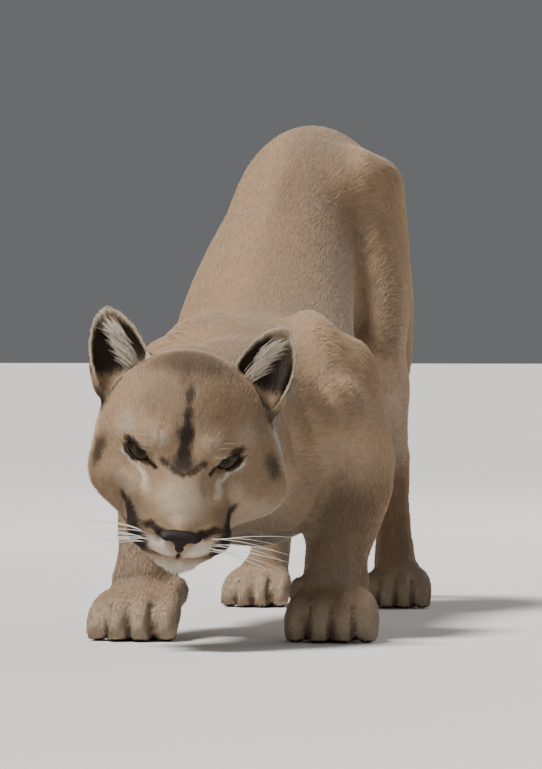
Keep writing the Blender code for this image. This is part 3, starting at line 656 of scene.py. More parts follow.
def add_head(bm):
    """Skull, face and lower jaw as one form of (forward, top, bottom, half width) sections."""
    sections = (
        (-125, 36, -60, 58),
        (-95, 58, -80, 77),
        (-60, 69, -88, 87),
        (-28, 63, -90, 87),
        (0, 46, -90, 76),
        (18, 26, -88, 66),
        (35, 10, -87, 56),
        (52, -3, -88, 50),
        (66, -14, -87, 43),
        (75, -21, -81, 35),
        (80, -30, -70, 20),
    )
    rows = [(0, -fwd, (top + low) / 2, wide, (top - low) / 2) for fwd, top, low, wide in sections]
    loft(bm, scaled(rows), frame=head_matrix(), sides=28, upright=True, egg=0.12)


def add_lids(bm):
    """The lids' swelling over each eyeball."""
    for side in (1, -1):
        place = on_head(EYE_PLACE[0] * side, EYE_PLACE[1], EYE_PLACE[2])
        mass(bm, place, [LID_RADIUS * MM] * 3, frame=head_matrix())


def press(mesh, presses, sides=(1, -1)):
    """Shapes the face with soft touches, on both sides alike unless told otherwise."""
    surface = Surface(mesh)
    local = to_head(surface.points)
    shifts = np.zeros_like(local)
    for place, reach, shift in presses:
        for side in sides:
            far = (local - np.array(place) * (side, 1, 1)) / reach
            touch = np.clip(1 - (far**2).sum(axis=1, keepdims=True), 0, 1) ** 2
            shifts += touch * np.array(shift) * (side, 1, 1) * (0.5 if place[0] == 0 else 1)
    surface.points = from_head(local + shifts)
    surface.store()


def turn_muzzle(mesh):
    """Turns the straight muzzle to the side, as muzzle_bend says."""
    surface = Surface(mesh)
    forward = to_head(surface.points)[:, 1]
    surface.points += np.outer(muzzle_bend(forward) * MM, np.array(head_matrix())[:3, 0])
    surface.store()


def eye_frame(side):
    """At an eyeball's centre; its -Y looks out of the lids, its X runs from corner to corner."""
    place = Matrix.Translation(on_head(EYE_PLACE[0] * side, EYE_PLACE[1], EYE_PLACE[2]))
    turn = Euler([math.radians(a) for a in (-EYE_LIFT, EYE_SLANT * -side, EYE_YAW * side)], "YXZ")
    return head_matrix() @ place @ turn.to_matrix().to_4x4()


def ear_matrix(side):
    """From an ear's own frame, upright on its foot and open to -Y, to the stance frame."""
    lean, roll, yaw = (math.radians(a) for a in EAR_TURN)
    turn = Matrix.Rotation(roll * side, 4, "Y") @ Matrix.Rotation(lean, 4, "X")
    turn = turn @ Matrix.Rotation(yaw * side, 4, "Z")
    place = Matrix.Translation(on_head(EAR_PLACE[0] * side, EAR_PLACE[1], EAR_PLACE[2]))
    return head_matrix() @ place @ turn


def ear_point(v, across):
    """A point of the ear's cup: v is 0 at its foot and 1 at its tip, across is -1 and 1 at its edges."""
    bulge, point = EAR_TAPER
    narrowing = max(1 - v**bulge, 0.0) ** point if v > 0 else math.sqrt(1 - (v / 0.45) ** 2)
    radius = EAR_HALF_WIDTH * narrowing + 0.0012
    turn = math.radians(120 - 45 * max(v, 0)) * across
    back = radius * EAR_FLATNESS * math.cos(turn) + EAR_SWEEP * MM * v * abs(v)
    return Vector((radius * math.sin(turn), back, v * EAR_LENGTH))


def ear_edge(side):
    """The path along an ear's edge, up one side and down the other."""
    heights = [math.sin(math.pi / 2 * i / 14) for i in range(15)]
    path = [ear_point(v, -1) for v in heights] + [ear_point(v, 1) for v in reversed(heights)]
    return [ear_matrix(side) @ point for point in path]


def ear_shell(side):
    """A cupped ear: arcs that narrow to a rounded tip, given a wall. Its foot is sunk in the skull."""
    rows, columns = 24, 28
    bm = bmesh.new()
    grid = []
    for i in range(rows + 1):
        height = (EAR_LENGTH + EAR_ROOT) * math.sin(math.pi / 2 * i / rows) - EAR_ROOT
        across = [2 * j / columns - 1 for j in range(columns + 1)]
        grid.append([bm.verts.new(ear_point(height / EAR_LENGTH, share)) for share in across])
    for low, high in zip(grid, grid[1:]):
        for j in range(columns):
            bm.faces.new((low[j], low[j + 1], high[j + 1], high[j]))
    obj = new_object("ear_form", mesh_of(bm, "ear"))
    wall = obj.modifiers.new("wall", "SOLIDIFY")
    wall.thickness = EAR_WALL
    wall.offset = 0
    wall.use_even_offset = True
    made = evaluated_mesh(obj)
    made.transform(ear_matrix(side))
    return made


# From the stance frame to where the solids stand.
EYE_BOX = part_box("eye_left")
SHIFT = np.array((Vector(EYE_BOX[0]) + Vector(EYE_BOX[1])) / 2 - eye_frame(1).translation)


# Small tools for places, paths and soft edges.


def to_head(points):
    """Places of the stance frame as (side, forward, up) in millimetres."""
    local = moved(points, head_matrix().inverted()) / MM * (1, -1, 1)
    local[:, 0] -= muzzle_bend(local[:, 1])
    return local


def from_head(places):
    """Places as (side, forward, up) in millimetres, in the stance frame."""
    local = np.array(places, float)
    local[:, 0] += muzzle_bend(local[:, 1])
    return moved(local * (1, -1, 1) * MM, head_matrix())


def soft(value, low, high):
    """0 below low, 1 above high, and smooth between."""
    t = np.clip((value - low) / (high - low), 0, 1)
    return t * t * (3 - 2 * t)


def segment_gap(points, start, end):
    """How far each point is from the segment."""
    along = end - start
    t = np.clip((points - start) @ along / (along @ along), 0, 1)
    return np.linalg.norm(points - start - t[:, None] * along, axis=1)


def path_gap(points, path):
    path = np.array(path, float)
    return np.min([segment_gap(points, a, b) for a, b in zip(path, path[1:])], axis=0)


def folded(local):
    """The head's places with its right side laid on the left."""
    return np.column_stack([np.abs(local[:, 0]), local[:, 1:]])


def spot(local, centre, radii):
    """1 in the middle of an oval spot, 0 outside it."""
    return 1 - soft(np.linalg.norm((local - centre) / radii, axis=1), 0.45, 1.25)


def streak(local, path, radius):
    """1 along a path, 0 away from it."""
    return 1 - soft(path_gap(local, path) / radius, 0.45, 1.25)


def unit(rows):
    return rows / np.maximum(np.linalg.norm(rows, axis=1, keepdims=True), 1e-9)


# The skin.


def subdivided(mesh):
    obj = new_object("smooth", mesh)
    obj.modifiers.new("smooth", "SUBSURF").levels = 1
    return evaluated_mesh(obj)


def whole_skin():
    """Body, head, paws, lids and ears as one fine surface, at the outline of the coat."""
    bm = bmesh.new()
    add_trunk(bm)
    add_neck(bm)
    add_foreleg(bm)
    add_hindleg(bm)
    loft(bm, TAIL_STATIONS, sides=16)
    add_head(bm)
    body = fused(mesh_of(bm, "body_forms"), BODY_VOXEL)
    fill_creases(body, BODY_FILL_ROUNDS)
    even_out(body, BODY_EVEN_ROUNDS)
    turn_muzzle(body)
    press(body, FACE_PRESSES)
    press(body, TURNED_CHEEK, sides=(1,))
    bm = bmesh.new()
    bm.from_mesh(subdivided(body))
    add_paws(bm)
    add_lids(bm)
    for side in (1, -1):
        bm.from_mesh(ear_shell(side))
    whole = fused(mesh_of(bm, "all_forms"), SKIN_VOXEL)
    fill_creases(whole, SKIN_FILL_ROUNDS)
    even_out(whole, SKIN_EVEN_ROUNDS)
    soften_toes(whole)
    surface = Surface(whole)
    part_toes(surface)
    for path, width, depth in BODY_FOLDS:
        for side in (1, -1):
            groove(surface, np.array(path) * (side, 1, 1), width, depth)
    surface.store()
    return whole


def part_toes(surface):
    """Presses the gaps between the toes."""
    for place, width, length, yaw in PAW_SHAPES:
        toe = width * TOE_SHARE
        for side in (1, -1):
            matrix = paw_matrix(place, yaw, side)
            for gap in TOE_GAPS:
                rows = ((0.95, -0.36, 2.7), (1, -0.44, 2.1), (1, -0.51, 1.4), (1, -0.50, 0.3))
                path = [matrix @ Vector((gap * width * a, length * b, toe * c)) for a, b, c in rows]
                groove(surface, path, width * 0.035, width * 0.040)


def toe_gaps(points):
    """1 in the gaps between the toes, 0 on them."""
    found = np.zeros(len(points))
    for place, width, length, yaw in PAW_SHAPES:
        for side in (1, -1):
            x, y, z = moved(points, paw_matrix(place, yaw, side).inverted()).T
            front = soft(-y / length, 0.20, 0.40) * (1 - soft(z / width, 0.14, 0.34))
            front *= (np.abs(x) < width * 0.4) & (np.abs(y) < length * 0.75)
            for gap in TOE_GAPS:
                found = np.maximum(found, front * (1 - soft(np.abs(x / width - gap), 0.012, 0.050)))
    return found


def soften_toes(mesh):
    """Fills the furrows between the toes, but not down by the floor."""
    surface = Surface(mesh)
    low = surface.points[:, 2]
    share = soft(low, 0.008, 0.030) * (1 - soft(low, 0.075, 0.095))
    share *= 1 - soft(surface.points[:, 1], STRIDE + 0.10, STRIDE + 0.13)
    for _ in range(TOE_FILL_ROUNDS):
        outward = surface.normals()
        lift = (surface.pull() * outward).sum(axis=1)
        surface.points += outward * (np.maximum(lift, 0) * share * 0.6)[:, None]
    surface.store()


def coarser_body(mesh, triangles):
    """Larger triangles where the coat is long, small ones on the head and the paws."""
    obj = new_object("coarse", mesh)
    surface = Surface(mesh)
    from_middle = (to_head(surface.points) - (0, -10, -10)) / (110, 150, 125)
    head = 1 - soft(np.linalg.norm(from_middle, axis=1), 0.9, 1.1)
    paw = 1 - soft(surface.points[:, 2], 0.06, 0.08)
    paw *= 1 - soft(surface.points[:, 1], STRIDE + 0.09, STRIDE + 0.12)
    levels = np.round(40 * (0.85 - np.maximum(head * 0.30, paw * 0.15))).astype(int)
    group = obj.vertex_groups.new(name="coarse")
    for level in np.unique(levels).tolist():
        group.add(np.nonzero(levels == level)[0].tolist(), level / 40, "REPLACE")
    decimate = obj.modifiers.new("coarse", "DECIMATE")
    decimate.vertex_group = group.name
    decimate.ratio = triangles / (2 * len(mesh.polygons))
    decimate.use_collapse_triangulate = True
    return evaluated_mesh(obj)


def finer(mesh, inside):
    """Halves the edges between the points for which inside, a function of head places, is true."""
    bm = bmesh.new()
    bm.from_mesh(mesh)
    bmesh.ops.triangulate(bm, faces=bm.faces)
    points = np.array([v.co for v in bm.verts])
    chosen = inside(to_head(points))
    edges = [e for e in bm.edges if chosen[e.verts[0].index] and chosen[e.verts[1].index]]
    bmesh.ops.subdivide_edges(bm, edges=edges, cuts=1, use_grid_fill=True)
    bmesh.ops.triangulate(bm, faces=bm.faces)
    bm.to_mesh(mesh)
    bm.free()
    surface = Surface(mesh)
    near = inside(to_head(surface.points))[:, None]
    for _ in range(2):
        surface.points += surface.pull() * 0.5 * near
        surface.points -= surface.pull() * 0.5 * near
    surface.store()


def face_area(local):
    return (local[:, 1] > -40) & (np.abs(local[:, 0]) < 74) & (local[:, 2] < 50)


def eyes_and_muzzle(local):
    eyes = np.linalg.norm((folded(local) - (38, 16, 0)) / (27, 30, 20), axis=1)
    return (eyes < 1) | ((local[:, 1] > 50) & (local[:, 2] > -92))


def tree_of(mesh):
    return BVHTree.FromPolygons([v.co for v in mesh.vertices], [p.vertices for p in mesh.polygons])


def on_face(tree, side, up, aim=0.8):
    """The point of the face at that side and height, seen from in front."""
    start = head_matrix() @ on_head(side * 1.6, 130, up)
    inward = head_matrix() @ on_head(side * aim, 0, up) - start
    return tree.ray_cast(start, inward.normalized())[0]


def lid_path(side, radius, spread=1.0, lift=0.0, angles=(0, 360), steps=40):
    """Points round the almond of the lids, on a ball of that radius, in millimetres over the eyeball."""
    half, upper, lower = EYE_OPENING
    made = []
    for i in range(steps + 1):
        angle = math.radians(angles[0] + (angles[1] - angles[0]) * i / steps)
        z = math.sin(angle)
        x = math.cos(angle) * half * spread
        z = (upper if z > 0 else lower) * math.copysign(abs(z) ** 1.25, z) * spread + lift
        y = -math.sqrt(max(radius**2 - x * x - z * z, 1.0))
        made.append(eye_frame(side) @ (Vector((x, y, z)) * MM))
    return made


def groove(surface, path, width, depth):
    """Presses a soft line into the surface, or raises one when the depth is negative."""
    gap = path_gap(surface.points, path)
    near = gap < width * 3
    shape = np.exp(-((gap[near] / width) ** 2))[:, None]
    surface.points[near] -= surface.normals()[near] * shape * depth


def shape_face(mesh):
    """Lids' folds, the line of the mouth, the lips and the brow, once the face is fine enough."""
    tree = tree_of(mesh)
    press(mesh, FINE_PRESSES)
    surface = Surface(mesh)
    mouth = []
    for side in (-1, 1):
        half = [on_face(tree, across * side, up) for across, up in MOUTH_LINE[1 if side > 0 else 0 :]]
        corner = from_head([(across * side, fwd, up) for across, fwd, up in MOUTH_CORNER])
        half += [tree.find_nearest(Vector(place))[0] for place in corner]
        mouth = mouth + half if side > 0 else list(reversed(half))
    groove(surface, mouth, *MOUTH_GROOVE)
    groove(surface, [head_matrix() @ on_head(0, fwd, up) for fwd, up in PHILTRUM], *PHILTRUM_GROOVE)
    for side in (1, -1):
        for lift, spread, angles, width, depth in LID_FOLDS:
            groove(surface, lid_path(side, 21.5, spread, lift, angles), width, depth)
        for line, size in ((TEAR_LINE, TEAR_GROOVE), (BROW_FOLD, BROW_GROOVE)):
            groove(surface, from_head([(across * side, fwd, up) for across, fwd, up in line]), *size)
    surface.store()
    return np.array(mouth)


def open_eyes(surface):
    """Presses the skin inside each almond back behind the eyeball; tells which points that is."""
    half, upper, lower = EYE_OPENING
    opened = np.zeros(len(surface.points), bool)
    for side in (1, -1):
        local = moved(surface.points, eye_frame(side).inverted()) / MM
        x, y, z = local.T
        tall = np.where(z > 0, upper, lower)
        edge = tall * np.sqrt(np.clip(1 - (x / half) ** 2, 0, 1)) ** 1.25
        inside = (np.abs(x) < half) & (np.abs(z) < edge) & (y < 0) & (np.linalg.norm(local, axis=1) < 32)
        local[inside] = unit(local[inside]) * 14.5
        surface.points[inside] = moved(local * MM, eye_frame(side))[inside]
        opened |= inside
    return opened


# The coat's (length, depth, lift in degrees, width) in millimetres.
HEAD_COAT = (7.0, 2.0, 10.0, 0.85)
TRUNK_COAT = (10.0, 2.6, 6.5, 1.15)
BELLY_COAT = (18.0, 4.6, 13.0, 1.5)
TAIL_COAT = (15.0, 3.6, 11.0, 1.3)
LEG_COAT = (8.0, 1.7, 9.0, 1.00)
EAR_COAT = (5.5, 0.9, 10, 0.75)
# How much of each falls away towards the nose, and how much is added on the cheeks and the chin.
NOSE_LOSS = (0.56, 0.66, 0.0, 0.42)
CHEEK_GAIN = (0.9, 0.8, 0.4, 0.25)
CHIN_GAIN = (1.0, 0.6, 0.8, 0.2)
LIMB_COAT_LINES = (
    ("foreleg", (0.085, 0.110, 0.300), (0.105, 0.165, 0.170), 0.055, TRUNK_COAT),
    ("foreleg", (0.102, 0.160, 0.165), tuple(WRIST), 0.042, LEG_COAT),
    ("forepaw", tuple(WRIST), (0.097, -0.020, 0.028), 0.034, (5.5, 1.2, 11.0, 0.85)),
    ("forepaw", (0.097, -0.020, 0.028), (0.097, -0.060, 0.010), 0.034, (4.5, 1.0, 11.0, 0.75)),
    ("hindleg", (0.095, 0.650, 0.460), (0.095, 0.700, 0.290), 0.060, TRUNK_COAT),
    ("hindleg", (0.070, 0.590, 0.270), tuple(HOCK), 0.036, LEG_COAT),
    ("hindleg", tuple(HOCK), tuple(HIND_FETLOCK), 0.024, LEG_COAT),
    ("hindpaw", tuple(HIND_FETLOCK), (0.077, STRIDE - 0.052, 0.010), 0.032, (4.8, 1.1, 11.0, 0.8)),
)


def coat_lines():
    """Lines of the body along which the hair runs: (name, from, to, reach, coat)."""
    lines = [
        ("head", from_head([(0, 80, -45)])[0], from_head([(0, -95, -15)])[0], 0.088, HEAD_COAT),
        ("neck", (-0.012, -0.040, 0.205), (-0.003, 0.100, 0.225), 0.090, TRUNK_COAT),
        ("chest", (-0.003, 0.100, 0.200), (-0.021, 0.310, 0.215), 0.105, TRUNK_COAT),
        ("belly", (-0.006, 0.150, 0.100), (-0.033, 0.520, 0.265), 0.020, BELLY_COAT),
        ("loins", (-0.021, 0.310, 0.250), (-0.030, 0.570, 0.385), 0.105, TRUNK_COAT),
        ("rump", (-0.030, 0.570, 0.410), (-0.002, 0.800, 0.440), 0.095, TRUNK_COAT),
    ]
    for limb_name, start, end, reach, coat in LIMB_COAT_LINES:
        for word, flip in SIDES:
            start_there, end_there = np.multiply((start, end), (flip, 1, 1))
            lines.append((f"{limb_name}_{word}", start_there, end_there, reach, coat))
    for start, end in zip(TAIL_STATIONS, TAIL_STATIONS[1:]):
        lines.append(("tail", start[:3], end[:3], start[3], TAIL_COAT))
    for word, flip in SIDES:
        foot, tip = (ear_matrix(flip) @ Vector((0, 0, height)) for height in (0.006, EAR_LENGTH))
        lines.append((f"ear_{word}", foot, tip, 0.034, EAR_COAT))
    return lines


COAT_LINES = coat_lines()


def coat_lie(points, normals):
    """The way the hair lies at each point, its sizes there, and the number of its line of the body."""
    count = len(points)
    ways = np.zeros((count, 3))
    sizes = np.zeros((count, 4))
    total = np.zeros(count)
    best = np.zeros(count)
    owner = np.zeros(count, int)
    muzzle = from_head([(0, 96, -30)])[0]
    for number, (name, start, end, reach, coat) in enumerate(COAT_LINES):
        start, end = np.array(start, float), np.array(end, float)
        weight = (reach / np.maximum(segment_gap(points, start, end), 0.001)) ** 4
        way = unit((end - start)[None, :])
        if name == "head":
            way = unit(points - muzzle)
        ways += way * weight[:, None]
        sizes += np.array(coat) * weight[:, None]
        total += weight
        owner[weight > best] = number
        best = np.maximum(best, weight)
    sizes /= total[:, None]
    local = to_head(points)
    on_the_head = np.array([COAT_LINES[number][0] == "head" for number in owner])
    face = soft(local[:, 1], -70, 60) * on_the_head
    sizes *= 1 - face[:, None] * NOSE_LOSS
    cheek = spot(folded(local), (72, -45, -62), (34, 48, 34)) * on_the_head
    sizes *= 1 + cheek[:, None] * CHEEK_GAIN
    chin = spot(local, (0, 66, -86), (34, 30, 18))
    sizes *= 1 + chin[:, None] * CHIN_GAIN
    ways -= normals * (ways * normals).sum(axis=1, keepdims=True)
    return unit(ways), sizes, owner


# Markings. Places are (side, forward, up) on the head, the same on both sides, in millimetres. A spot is
# (middle, radii, strength), and a streak is (path, radius, strength).
PALE_SPOTS = (
    ((20, 88, -51), (18, 16, 10), 1.0),
    ((31, 80, -53), (10, 12, 9), 0.95),
    ((0, 74, -86), (34, 26, 18), 0.95),
    ((0, 62, -14), (25, 34, 20), 0.30),
    ((24, 16, 24), (10, 12, 8), 0.24),
    ((58, -8, 20), (18, 16, 12), 0.20),
    ((50, 26, -22), (14, 16, 12), 0.22),
    ((92, -46, -25), (24, 20, 38), 0.32),
    ((45, 45, -86), (28, 40, 14), 0.60),
)
PALE_STREAKS = (
    (((59, 8, 1), (52, 15, -3), (45, 21, -5), (37, 30, -8)), 2.5, 0.80),
    (((37, 30, -8), (35, 38, -12)), 3.4, 0.58),
    (((35, 38, -12), (34, 46, -18)), 4.6, 0.36),
)
DARK_SPOTS = (
    ((0, 32, 8), (14, 12, 9), 0.92),
    ((0, -62, 66), (50, 34, 22), 0.70),
    ((26, -66, 62), (30, 24, 18), 0.50),
    ((0, -34, 61), (20, 18, 12), 0.45),
    ((30, -14, 46), (22, 28, 16), 0.26),
    ((82, -14, -18), (22, 12, 20), 0.74),
    ((0, -24, 52), (52, 42, 32), 0.27),
    ((44, 58, -30), (18, 22, 12), 0.30),
    ((82, -58, 12), (9, 16, 16), 0.75),
)
DARK_STREAKS = (
    (((0, -25, 58), (0, -20, 56)), 3.6, 0.75),
    (((0, -19, 55), (0, -13, 52)), 6.4, 0.85),
    (((0, -6, 49), (0, 3, 43)), 4.4, 0.85),
    (((0, 3, 43), (0, 12, 32)), 6.6, 0.92),
    (((0, 12, 32), (0, 26, 12)), 8.6, 0.94),
    (((20, 30, 9), (10, 37, 5.5), (0, 43, 2)), 4.6, 0.88),
    (((53, 32, -36), (50, 44, -38)), 5.5, 0.90),
    (((50, 44, -38), (46, 60, -42), (42, 72, -47), (37, 75, -57), (35, 72, -66)), 9.6, 0.97),
    (((14, 87, -38), (23, 79, -37), (31, 73, -37)), 4.6, 0.97),
    (((31, 73, -37), (40, 66, -39)), 4.0, 0.85),
    (((24, 7, 33), (28, 21, 20)), 2.6, 0.30),
    (((39, 12, -2), (33, 18, 0)), 4.6, 0.98),
    (((33, 18, 0), (30, 25, 1), (27, 32, 0)), 3.8, 0.98),
    (((52, 6, 9), (58, 2, 10)), 2.6, 0.85),
    (((0, 96, -48), (0, 91.5, -53), (0, 92.5, -57), (0, 88, -62)), 2.6, 0.92),
    (((72, -68, 28), (79, -60, 16), (83, -55, 6)), 7.0, 0.85),
)

# How far the marks' edges wander, in millimetres, and how far single tufts stray over them, in metres.
EDGE_WANDER = 1.1
MARK_BLUR = 0.0010


def strongest(local, spots, streaks):
    """How strong the strongest of the spots and streaks is at each point."""
    found = [spot(local, centre, radii) * strength for centre, radii, strength in spots]
    found += [streak(local, path, radius) * strength for path, radius, strength in streaks]
    return np.maximum.reduce(found)


def marks_and_painted_shade(points, normals):
    """How pale and how dark the coat is at each point: its markings, and painted shade on the ears, legs,
    chest and paws.
    """
    local = to_head(points)
    mirrored = folded(local) + EDGE_WANDER * np.sin(local[:, [1, 2, 0]] * 0.42 + (0, 2, 4))
    pale = strongest(mirrored, PALE_SPOTS, PALE_STREAKS)
    dark = strongest(mirrored, DARK_SPOTS, DARK_STREAKS)
    for side in (1, -1):
        rim = path_gap(points, lid_path(side, 20.5))
        upper_lid = path_gap(points, lid_path(side, 21.0, lift=1.5, angles=(5, 175)))
        ear_pale, ear_dark_and_cup_shade = ear_marks_and_cup_shade(points, normals, side)
        dark = np.maximum(dark, 0.97 * (1 - soft(rim, 0.0016, 0.0034)))
        dark = np.maximum(dark, 0.97 * (1 - soft(upper_lid, 0.0018, 0.0036)))
        dark = np.maximum(dark, ear_dark_and_cup_shade)
        pale = np.maximum(pale, ear_pale)
    from_middle = np.linalg.norm((local - (0, -10, -20)) / (110, 130, 100), axis=1)
    body_pale, body_dark = body_marks_and_shade(points, normals, 1 - soft(from_middle, 0.85, 1.1))
    pale = np.maximum(pale, body_pale)
    dark = np.maximum(dark, body_dark)
    return np.clip(pale * (1 - 0.85 * dark), 0, 1), np.clip(dark, 0, 1)


def body_marks_and_shade(points, normals, head):
    """The pale and the dark of the body, painted shade included; head is 1 on the head, whose marks are its
    own.
    """
    x, y, z = points.T
    sideways, backward, upward = normals.T
    aside = np.abs(x)
    tail = soft(y, STRIDE + 0.12, STRIDE + 0.16)
    ahead = 1 - soft(y, 0.08, 0.22)
    under = soft(-upward, 0.10, 0.80) * (1 - 0.5 * head) * (1 - 0.75 * soft(aside, 0.045, 0.080))
    inner = soft(-sideways * np.sign(x), 0.45, 0.95) * soft(0.30 - z, 0.0, 0.08) * soft(aside, 0.015, 0.04)
    breast = soft(-backward, 0.3, 0.8) * (1 - soft(z, 0.16, 0.22)) * (1 - soft(y, 0.06, 0.12))
    toes = (1 - soft(z, 0.018, 0.060)) * (1 - tail)
    back = soft(upward, 0.55, 0.95) * (1 - soft(aside, 0.012, 0.050)) * (1 - head)
    # Painted shade down the fronts of the lower legs.
    painted_shin_shade = soft(-backward, 0.1, 0.8) * soft(z, 0.03, 0.07) * (1 - soft(z, 0.15, 0.20)) * (1 - head)
    heel = soft(backward, 0.3, 0.8) * (1 - soft(z, 0.13, 0.19)) * soft(y, 0.6, 0.7) * (1 - tail)
    tip_start, tip_end = np.array(TAIL_STATIONS)[-2:, :3]
    tip = 1 - soft(segment_gap(points, tip_start, tip_end), 0.040, 0.075)
    # Painted shade: the pale under the chest, on the breast and on the legs' inner sides is weakened.
    pale = [
        under * (0.78 - 0.42 * ahead - 0.45 * tail),
        inner * 0.38 * (1 - tail) * (1 - head),
        breast * 0.16 * (1 - head),
        toes * 0.22,
    ]
    # Painted shade in the gaps between the toes.
    dark = [toe_gaps(points) * 0.70, back * 0.22, painted_shin_shade * 0.28, heel * 0.35, tip * 0.95]
    return np.maximum.reduce(pale), np.maximum.reduce(dark)


def ear_marks_and_cup_shade(points, normals, side):
    """How pale an ear's edge is, and how dark its back is, with painted shade darkening the inside of its
    cup.
    """
    inverse = np.array(ear_matrix(side).inverted())
    x, y, z = moved(points, inverse).T / MM
    facing = normals @ inverse[:3, :3].T
    v = np.clip(z * MM / EAR_LENGTH, 0, 1)
    bulge, point = EAR_TAPER
    radius = EAR_HALF_WIDTH / MM * (1 - v**bulge) ** point
    outside = np.hypot(x, (y - EAR_SWEEP * v * v) / EAR_FLATNESS) - radius
    on_ear = soft(z, 2, 12) * (1 - soft(outside, 4, 8))
    back = soft(facing[:, 1], -0.1, 0.5)
    # Painted shade: the inside of the cup is darkened below the tip.
    inside = (1 - back) * (1 - soft(z, 50, 64))
    edge = 1 - soft(path_gap(points, ear_edge(side)) / MM, 2.5, 6.0)
    dark = on_ear * np.maximum(back * 0.80, inside * 0.93) * (1 - 0.88 * edge)
    return on_ear * edge * 0.42, dark


def stored_coat(mesh, pale, dark, tint, along):
    """Keeps the coat's masks on the mesh's points, for its materials; the last is the share along a tuft,
    which sets its painted shade.
    """
    layer = mesh.attributes.new("Coat", "FLOAT_COLOR", "POINT")
    values = np.stack([pale, dark, tint, along], axis=1).astype(np.float32)
    layer.data.foreach_set("color", values.ravel())


def triangles_of(mesh):
    """The corners of the mesh's triangles."""
    mesh.calc_loop_triangles()
    return values_of(mesh.loop_triangles, "vertices", 3, np.int32)


def unwrap_of(mesh):
    """A coarse unwrapped copy of the skin: its search tree, its corners, and their places on the map."""
    obj = new_object("unwrap", mesh.copy())
    decimate = obj.modifiers.new("coarse", "DECIMATE")
    decimate.ratio = UNWRAP_TRIANGLES / len(mesh.polygons)
    decimate.use_collapse_triangulate = True
    coarse = new_object("unwrap", evaluated_mesh(obj))
    bpy.context.view_layer.objects.active = coarse
    coarse.select_set(True)
    bpy.ops.object.mode_set(mode="EDIT")
    bpy.ops.mesh.select_all(action="SELECT")
    bpy.ops.uv.smart_project(angle_limit=math.radians(66), island_margin=0.004)
    bpy.ops.object.mode_set(mode="OBJECT")
    made = coarse.data
    places = values_of(made.uv_layers[0].data, "uv", 2).reshape(-1, 3, 2)
    corners = np.array([[made.vertices[i].co for i in p.vertices] for p in made.polygons])
    tree = tree_of(made)
    bpy.data.objects.remove(coarse)
    return tree, corners, places


def dot(p, q):
    return (p * q).sum(axis=1)


def map_places(points, unwrap):
    """Where each point falls on the skin's unwrap."""
    tree, corners, places = unwrap
    faces = np.array([tree.find_nearest(Vector(p))[2] for p in points])
    a, b, c = (corners[faces, k] for k in range(3))
    ab, ac, ap = b - a, c - a, points - a
    scale = dot(ab, ab) * dot(ac, ac) - dot(ab, ac) ** 2
    v = (dot(ac, ac) * dot(ap, ab) - dot(ab, ac) * dot(ap, ac)) / scale
    w = (dot(ab, ab) * dot(ap, ac) - dot(ab, ac) * dot(ap, ab)) / scale
    v, w = np.clip(v, 0, 1)[:, None], np.clip(w, 0, 1)[:, None]
    found = places[faces, 0] * (1 - v - w) + places[faces, 1] * v + places[faces, 2] * w
    return np.clip(found, 0.002, 0.998)


# The tufts.


def scattered(skin, bare, rng):
    """Roots for the tufts: more where the coat is short and fine, none where the skin is bare."""
    corners = triangles_of(skin["mesh"])
    points = skin["points"]
    a, b, c = (points[corners[:, k]] for k in range(3))
    area = np.linalg.norm(np.cross(b - a, c - a), axis=1) / 2
    size = skin["sizes"][corners].mean(axis=1)
    weight = area / (size[:, 0] * size[:, 3]) * ~bare[corners].any(axis=1)
    running = np.cumsum(weight)
    chosen = np.searchsorted(running, rng.random(TUFTS) * running[-1])
    u, v = rng.random((2, TUFTS))
    over = u + v > 1
    u[over], v[over] = 1 - u[over], 1 - v[over]
    shares = np.stack([1 - u - v, u, v], axis=1)
    picked = corners[chosen]

    def blend(values):
        return (values[picked] * shares[:, :, None]).sum(axis=1)

    return {
        "points": blend(points),
        "normals": unit(blend(skin["normals"])),
        "ways": blend(skin["ways"]),
        "sizes": blend(skin["sizes"]),
        "owner": skin["owner"][picked[:, 0]],
    }


def tuft_arrays(roots, rng):
    """Corners of the tufts: a three-sided foot sunk in the skin, and a tip."""
    count = len(roots["points"])
    normals, points = roots["normals"], roots["points"]
    ways = roots["ways"] + rng.normal(0, WAY_SPREAD, (count, 3))
    ways = unit(ways - normals * (ways * normals).sum(axis=1, keepdims=True))
    across = np.cross(normals, ways)
    length, _, lift, width = roots["sizes"].T
    length = length * MM * rng.uniform(*LENGTH_SPREAD, count)
    width = width * MM * rng.uniform(*WIDTH_SPREAD, count)
    lift = np.radians(lift * rng.uniform(*LIFT_SPREAD, count))
    wide, long, rise = width[:, None], length[:, None], lift[:, None]
    foot = points - normals * wide * 0.35
    corners = np.stack(
        [
            foot + across * wide / 2,
            foot - across * wide / 2,
            points + normals * wide * 0.30,
            points + (ways * np.cos(rise) + normals * np.sin(rise)) * long,
        ],
        axis=1,
    )
    corners[:, :, 2] = np.maximum(corners[:, :, 2], TUFT_FLOOR + rng.random((count, 1)) * 0.0002)
    lean = rng.normal(0, LEAN_SPREAD, (count, 3))
    shading = np.stack(
        [
            normals + across * 0.45 + lean,
            normals - across * 0.45 + lean,
            normals + lean,
            normals + ways * 0.25 + lean,
        ],
        axis=1,
    )
    return corners, unit(shading.reshape(-1, 3)).reshape(-1, 4, 3)


# A tuft's faces, and its corners' places on the map round its root's.
TUFT_FACES = np.array([(0, 2, 3), (2, 1, 3), (1, 0, 3), (0, 1, 2)])
TUFT_PATCH = np.array([(-0.0015, -0.0015), (0.0015, -0.0015), (0, -0.0004), (0, 0.0015)])


